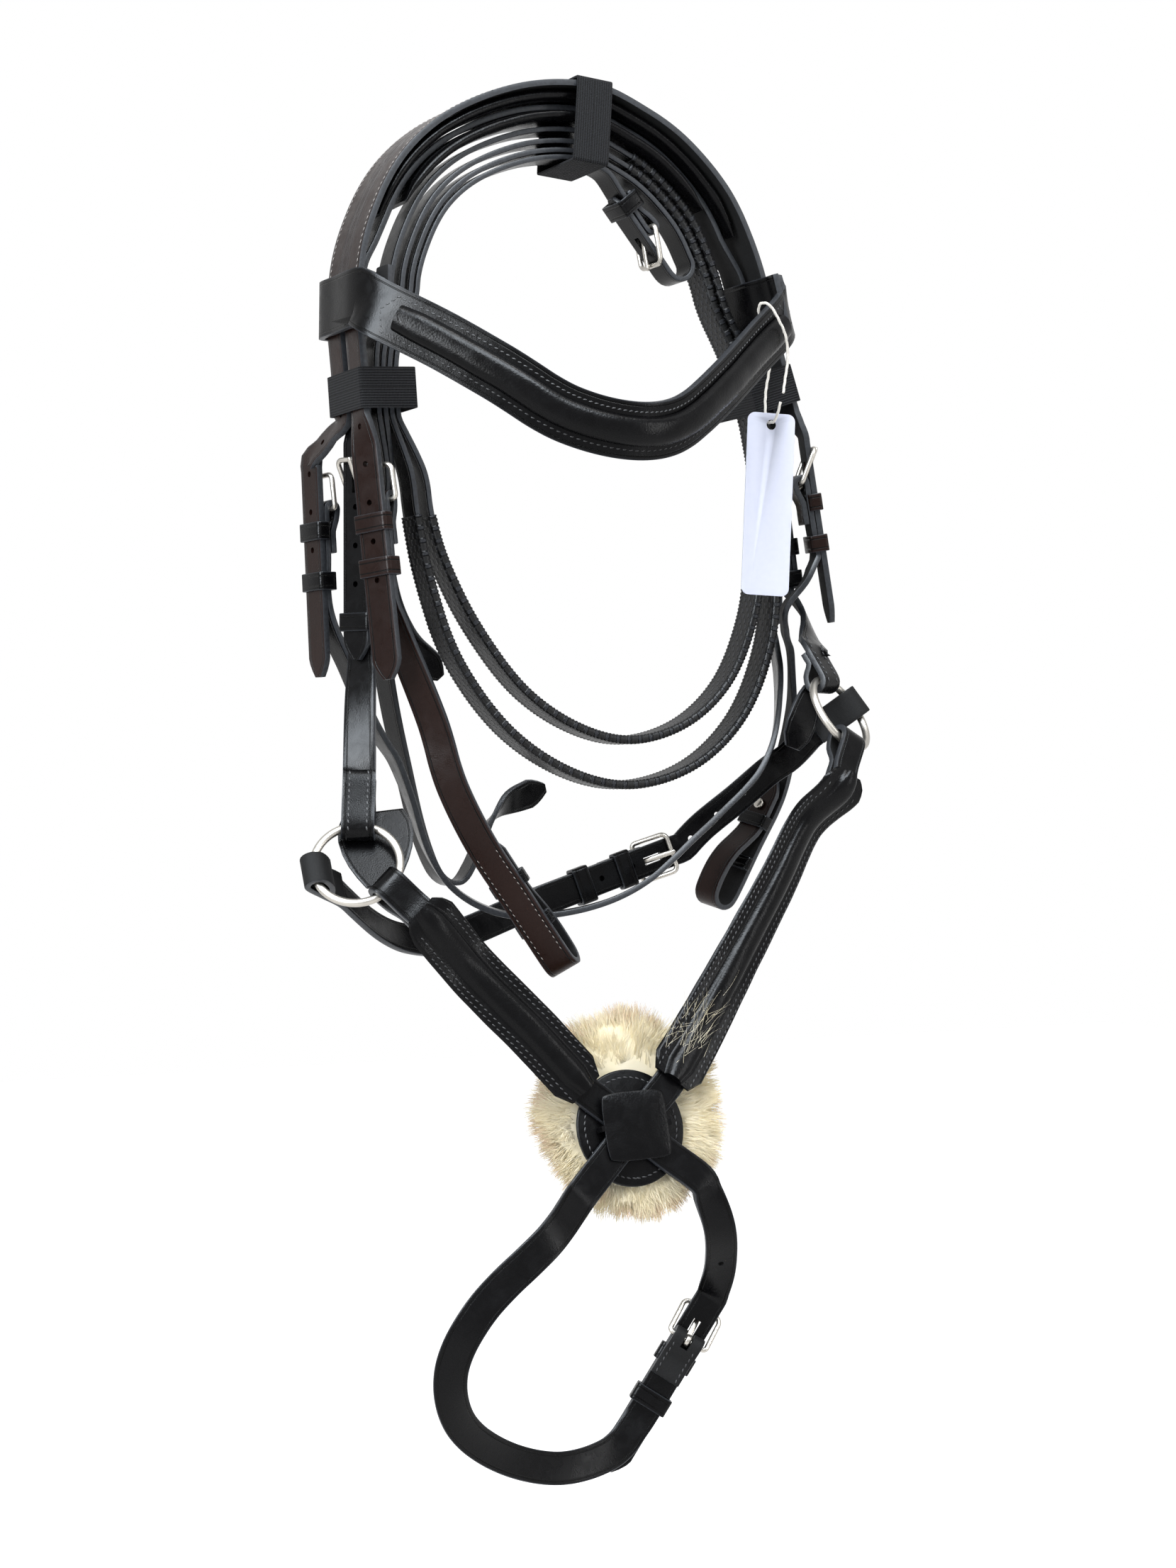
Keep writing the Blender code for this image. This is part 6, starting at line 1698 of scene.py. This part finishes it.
# %% Throat lash
LASH = ((1.215, 0.27, -0.625), (1.146, 0.13, -0.675), (1.05, 0.0, -0.728),
        (0.945, -0.04, -0.775), (0.792, -0.03, -0.818), (0.592, -0.06, -0.862),
        (0.385, -0.06, -0.91), (0.2, -0.02, -0.938), (-0.004, 0.04, -0.953),
        (-0.2, 0.1, -0.956), (-0.36, 0.14, -0.944), (-0.5, 0.18, -0.915),
        (-0.598, 0.21, -0.868), (-0.66, 0.23, -0.812), (-0.74, 0.24, -0.755),
        (-0.85, 0.25, -0.705))
LASH_TURNS = (68, 62, 58, 56, 56, 57, 58, 58, 60, 62, 64, 66, 72, 78, 84, 90)
rows = link(RIGHT_THROAT.chape_rows(0.046), table(LASH, LASH_TURNS),
            LEFT_THROAT.chape_rows()[::-1], 2)
lash, path = cut_strap("lash", rows, LEATHER_BOTH)
parts = [lash] + RIGHT_THROAT.chape_stitches(path)
parts += LEFT_THROAT.chape_stitches(Path(path.stations[::-1]))
for buckle in (LEFT_THROAT, RIGHT_THROAT):
    buckle.slot_chape(lash)
    parts.append(buckle.fixed_keeper())
stand_for("throat_lash", parts)
LEFT_THROAT.add_runner()

# %% [markdown]
# ## Jaw strap
#
# Behind the bit, a strap joins the two rings under the jaw. It is two straps that meet in a buckle,
# each folded round its ring and sewn with grey thread. Its zone leans back 68 degrees, because the
# strap lies nearly flat there.

# %% Jaw strap
JAW = Buckle("jaw", zone_between((0.5, 0.28, -0.892), (0.05, 0.32, -0.937), -20, -68))
JAW_TIP = 0.062
JAW.add_metal()
fold = RIGHT_RING.fold(18, RIGHT_RING.behind(18, 0.55, 0.83), flip=-1)
rows = table(((1.136, 0.0, -0.75), (1.08, 0.11, -0.77), (0.945, 0.17, -0.806),
              (0.79, 0.22, -0.843)), ((-29, -54), (-28, -56), (-26, -60), (-22, -65)))
billet = JAW.zone.line((*STRAIGHT_TOP, 0.0, JAW_TIP / 2, JAW_TIP))
strap, path = cut_strap("jaw", link(fold, rows, billet, 3), end_tip=True,
                        facing=(JAW.zone.at(0, 0, 0), JAW.zone.out))
JAW.slot_billet(strap)
punch(strap, path, billet_holes(path, JAW, -3, 6))
seam = sew("jaw_seam", path, two_rows(0.002, 0.022, GREY_SEAM), GREY_THREAD, size=FINE_STITCH)
stand_for("right_jaw_strap", [strap, seam])

fold = LEFT_RING.fold(192, LEFT_RING.behind(192, 0.52, 0.85), flip=-1)[::-1]
rows = table(((-0.42, 0.355, -0.985), (-0.64, 0.3, -0.985), (-0.84, 0.17, -0.965)),
             ((-30, -70), (-50, -68), (-75, -64)))
chape = JAW.chape_rows(JAW_TIP + TIP_LEN + KEEPER_T)
strap, path = cut_strap("jaw", link(chape, rows, fold, 4),
                        facing=(JAW.zone.at(RETURN_LEN, 0, CHAPE_N), JAW.zone.out))
JAW.slot_chape(strap)
far = path.nearest(fold[0][0])
parts = [strap, JAW.fixed_keeper(), sew("jaw_seam", path, two_rows(
    far - 0.004, far + 0.02, GREY_SEAM), GREY_THREAD, size=FINE_STITCH)]
stand_for("left_jaw_strap", parts + JAW.chape_stitches(path))
JAW.add_runner()

# %% [markdown]
# ## Ring guards
#
# Small leather guards lie between each ring and the horse, so that the ring doesn't pinch. A guard
# is a short strap whose width swells and shrinks along it.

# %% Ring guards
GUARD_T, GUARD_W = 0.002, 0.037
for side, shares, turns, widths in (
        ("left", ((-0.985, -0.283, -0.911), (-0.968, -0.181, -0.868), (-0.948, -0.074, -0.822)),
         (-28, -28, -28), (0.4, 0.62, 0.8, 0.93, 1.0, 0.98, 0.8)),
        ("right", ((1.124, -0.222, -0.661), (1.085, -0.24, -0.695), (1.035, -0.215, -0.74)),
         (28, 12, -5), (0.3, 0.42, 0.5, 0.54, 0.54, 0.46, 0.24))):
    path = Path(run(table(shares, turns), 3), widths, pitch=0.0015)
    guard = bend_sheet("guard", path.stations, GUARD_W, 12, path.shares)
    guard = thicken(guard, GUARD_T, LEATHER_BOTH, 0.0006)
    stand_for(side + "_ring_guard", [guard])

# %% [markdown]
# ## Reins
#
# Both reins go over the crown twice and hang in a double U. Their rubber grips are moulded tubes,
# ribbed like a braid along both edges and set with oval pimples on the flat sides. The ribs are
# real, one every 2.2 mm, because they break up the outline.

# %% Rein tables
REIN_SIDE = Vector((0, -1, 0))
OUTER_U = ((-0.782, -0.4), (-0.752, -0.455), (-0.692, -0.534), (-0.565, -0.63), (-0.325, -0.718),
           (-0.021, -0.772), (0.289, -0.788), (0.608, -0.76), (0.852, -0.694), (0.99, -0.599),
           (1.022, -0.5), (1.024, -0.4))
INNER_U = ((-0.722, -0.4), (-0.686, -0.455), (-0.62, -0.513), (-0.473, -0.59), (-0.249, -0.668),
           (0.017, -0.715), (0.289, -0.73), (0.567, -0.705), (0.78, -0.647), (0.905, -0.56),
           (0.942, -0.474), (0.962, -0.39))
TAIL_A = ((-0.86, 0.06, -0.41), (-0.85, 0.17, -0.49), (-0.79, 0.29, -0.59), (-0.71, 0.38, -0.68),
          (-0.62, 0.43, -0.77), (-0.54, 0.45, -0.85), (-0.45, 0.46, -0.905), (-0.35, 0.46, -0.915),
          (-0.28, 0.45, -0.885), (-0.22, 0.44, -0.845), (-0.13, 0.43, -0.815), (-0.01, 0.42, -0.8))
TAIL_A_TURNS = (-88, -86, -84, -84, -86, -88, -90, (-90, 4), (-88, 14), (-80, 32),
                (-65, 52), (-45, 68))
TAIL_B = ((-0.822, 0.1, -0.415), (-0.8, 0.2, -0.49), (-0.745, 0.26, -0.555), (-0.67, 0.27, -0.605),
          (-0.57, 0.26, -0.635))
TAIL_B_TURNS = (-88, -84, (-80, 14), (-66, 34), (-50, 52))
REIN_LOW, SLEEVE_END_SHARE = BAND_W + 0.002, 0.56
REIN_TIP, REIN_STRAIGHT, HAND_STATION, HAND_TURN_R = 0.014, 0.024, 32, 0.0075
HAND_LEAN = radians(14)
RIB_PITCH = 0.0022


def rein_crown(index_left, index_crown, index_right, first, last):
    return crown_rows(middle(LEFT_LAYERS, index_left), middle(CROWN_LAYERS, index_crown),
                      middle(RIGHT_LAYERS, index_right), first, last, REIN_LOW, REIN_FULL)


def rein_path(arm, tail, hand, grip, right, u_shares, tail_shares, tail_turns, hand_rows):
    """Whole rein: hand end, over the peg, the U, back over the crown, down the left."""
    down_left = rein_crown(arm, hand, right, 0, PEG_STATION)[::-1]
    loop = [(place((x, -0.02, z)), REIN_SIDE) for x, z in u_shares]
    up = rein_crown(tail, grip, right, 0, CROWN_END)[::-1]
    lower = run(down_left[-2:] + loop + up[:2], 3)[3:-3]
    tail_part = run(up[-2:] + table(tail_shares, tail_turns), 3)[3:]
    rows = hand_rows + down_left[:-1] + lower[:-1] + up[:-1] + tail_part
    sleeve_start = len(hand_rows) + len(down_left) + 5
    sleeve_end = len(hand_rows) + len(down_left) - 1 + len(lower) - 1
    return rows, sleeve_start, sleeve_end + int((CROWN_END + 1) * (1 - SLEEVE_END_SHARE))


def rubber_grip(node, rows):
    """Moulded sleeve with ribbed edges, a real tube round the rein."""
    path = Path(rows, pitch=RIB_PITCH / 2)
    width, deep = STRAP_W + 2 * (GAP + GRIP_WALL) - 0.0002, GRIP_T - 0.0002
    sections = []
    for step in (0.0, 0.0005):
        half, n = width / 2 - step, deep / 2
        shape = [(half, 0.0), (half - step * 0.4, n * 0.62), (half - 0.0011, n * 0.96 - step * 0.7),
                 (half - 0.0026, n - step * 0.9), (half - 0.0036, n * 0.86),
                 (half - 0.0046, n * 0.9)]
        shape += [(half * 0.25, n * 0.9), (-half * 0.25, n * 0.9)]
        shape += [(-a, b) for a, b in shape[5::-1]]
        shape += [(a, -b) for a, b in shape[::-1][1:-1]]
        sections.append(shape)
    outside = roll_tube(node + "_tube", path.stations, lambda row: sections[row % 2], RUBBER,
                        ends=False, angle=70)
    wall = outside.modifiers.new("Wall", "SOLIDIFY")
    wall.thickness, wall.offset = 0.0006, -1
    apply_all(outside)
    stand_for(node, [outside])


# %% [markdown]
# The left rein ends in a billet, turned back over the peg by a loop of 15 mm, and the right rein in
# a chape that holds the hand buckle on it. Each rein passes the crown at depths of its own in the
# stack. The grip is made first, from the same stations as its rein.

# %% Both reins and their hand buckle
over = rein_crown(6, 6, 4, PEG_STATION, HAND_STATION)[::-1]
out = CROWN_OUT[HAND_STATION]
along = out.cross(INTO_WALL) * cos(HAND_LEAN) - out * sin(HAND_LEAN)
zone = Zone(over[0][0], along, INTO_WALL)
HAND = Buckle("rein", Zone(zone.at(-ZONE_TOP, 0, 2 * HAND_TURN_R), along, zone.across))
HAND.add_metal()
zone = HAND.zone
bends = [(zone.at(ZONE_TOP - HAND_TURN_R * sin(turn), 0,
                  HAND_TURN_R * (cos(turn) - 1)), zone.across)
         for turn in [pi * k / 6 for k in range(1, 6)]]
billet = zone.line((REIN_TIP, REIN_TIP / 2, 0.0, *STRAIGHT_TOP[::-1]))
rows, first, last = rein_path(6, 4, 6, 4, 4, OUTER_U, TAIL_A, TAIL_A_TURNS,
                              (billet + bends + over)[:-1])
rubber_grip("left_rein_grip", rows[first:last])
rein, _ = cut_strap("rein", rows, LEATHER_BOTH, thickness=REIN_T, start_tip=True, end_tip=True)
HAND.slot_billet(rein)
stand_for("left_rein", [rein])

chape = HAND.chape_rows(REIN_STRAIGHT)
under = rein_crown(7, 7, 5, PEG_STATION, PEG_STATION + 3)[::-1]
hand_b = chape[:-1] + run([chape[-1]] + under, 2)
rows, first, last = rein_path(7, 5, 7, 5, 5, INNER_U, TAIL_B, TAIL_B_TURNS, hand_b[:-1])
rubber_grip("right_rein_grip", rows[first:last])
rein, _ = cut_strap("rein", rows, LEATHER_BOTH, thickness=REIN_T, end_tip=True)
HAND.slot_chape(rein)
stand_for("right_rein", [rein])
HAND.add_runner(RETURN_LEN * 0.75, RETURN_N)

# %% [markdown]
# ## Elastic bands
#
# Three plain elastic bands gather the straps. They are closed loops like the keepers, only wider,
# thinner and softer, and they stay free of any name.

# %% Bands
def add_band(name, here, out, along, depth):
    half = HEAD_W / 2 + BAND_CLEAR + BAND_T / 2
    deep = (-(depth + BAND_CLEAR + BAND_BOW + BAND_T / 2), BAND_CLEAR + BAND_T / 2)
    rows = hoop_rows(here, INTO_WALL, out, along, (-half, half), deep, BAND_T)
    rows, _ = finer(rows + [rows[0]], pitch=0.004)
    band = bend_sheet(name + "_loop", rows[:-1], BAND_W, 14, closed=True)
    stand_for(name, [thicken(band, BAND_T, (ELASTIC, ELASTIC, ELASTIC), 0.0003)])


def crown_at(distance, from_right=False):
    """Place, out and along at a distance along the crown from one end."""
    target = CROWN_RUN[-1] - distance if from_right else distance
    i = max(k for k in range(CROWN_END) if CROWN_RUN[k] <= target)
    share = (target - CROWN_RUN[i]) / (CROWN_RUN[i + 1] - CROWN_RUN[i])
    along = (CROWN[i + 1] - CROWN[i]).normalized()
    return CROWN[i].lerp(CROWN[i + 1], share), BACKWARD.cross(along), along


add_band("left_band", *crown_at(0.013), stack(LEFT_LAYERS))
add_band("right_band", *crown_at(0.014, from_right=True), stack(RIGHT_LAYERS))
along = (CROWN[PEG_STATION + 1] - CROWN[PEG_STATION - 1]).normalized()
add_band("crown_band", CROWN[PEG_STATION], CROWN_OUT[PEG_STATION], along, stack(CROWN_LAYERS))

# %% [markdown]
# ## Swing tag
#
# A white card with round corners and a punched hole hangs over the browband on a string. The card
# is a filled outline like the disc, 0.8 mm thick, and nothing is printed on it.

# %% Tag
TAG_W, TAG_L, TAG_T, TAG_CORNER_R, TAG_HOLE_R, TAG_TOP = 0.0255, 0.094, 0.0008, 0.004, 0.0026, 0.006
TAG = Zone(place((0.8, -0.45, -0.325)), Vector((-0.045, 0, -1)), turned(-14))
half = TAG_W / 2
corners = ((-TAG_TOP, half), (TAG_L - TAG_TOP, half), (TAG_L - TAG_TOP, -half), (-TAG_TOP, -half))
card = flat_piece("card", TAG, rounded(corners, [TAG_CORNER_R] * 4, 180, -90, 8), -TAG_T / 2,
                  TAG_T / 2, (CARD, CARD, CARD), 0.0001)
subtract(card, pin_cutter(TAG.origin, TAG.out, TAG_HOLE_R, 40, TAG_T * 6))
stand_for("swing_tag", [card], "swing_tag")

# %% [markdown]
# The string goes from the knot at the tag over the browband and back. It is three plies twisted
# together: its section has three lobes, which turn once every 5 mm.

# %% String
STRING_D, PLY_TURN = 0.0016, 0.005
STRING_SHARES = (
    (0.8085, -0.524, -0.2975), (0.8025, -0.506, -0.3125), (0.8, -0.475, -0.3215),
    (0.8, -0.45, -0.3213), (0.799, -0.42, -0.3205), (0.8, -0.395, -0.31),
    (0.809, -0.38, -0.28), (0.8305, -0.378, -0.245), (0.805, -0.404, -0.225),
    (0.776, -0.428, -0.21), (0.749, -0.448, -0.195), (0.724, -0.472, -0.18),
    (0.722, -0.505, -0.1725), (0.747, -0.542, -0.177), (0.79, -0.548, -0.1955),
    (0.8265, -0.534, -0.211), (0.8535, -0.507, -0.229), (0.857, -0.497, -0.2475),
    (0.835, -0.515, -0.27), (0.819, -0.53, -0.286))
spots = spline([place(s) for s in STRING_SHARES], 4)
sides = [Vector((0.3, 1, 0.2))]
for before, after in zip(spots, spots[1:]):
    along = (after - before).normalized()
    sides.append((sides[-1] - along * sides[-1].dot(along)).normalized())
string_path = Path(list(zip(spots, sides)), pitch=0.0006)


def three_plies(row):
    twist = string_path.lengths[min(row, len(string_path.lengths) - 1)] / PLY_TURN * 2 * pi
    turns = [2 * pi * k / 12 for k in range(12)]
    radii = [STRING_D / 2 * (0.86 + 0.14 * cos(3 * turn + twist)) for turn in turns]
    return [(r * cos(turn), r * sin(turn)) for r, turn in zip(radii, turns)]


string = roll_tube("string", string_path.stations, three_plies, COTTON, angle=80)
string = stand_for("tag_string", [string])
print("string is", round(string_path.length, 4), "m long")
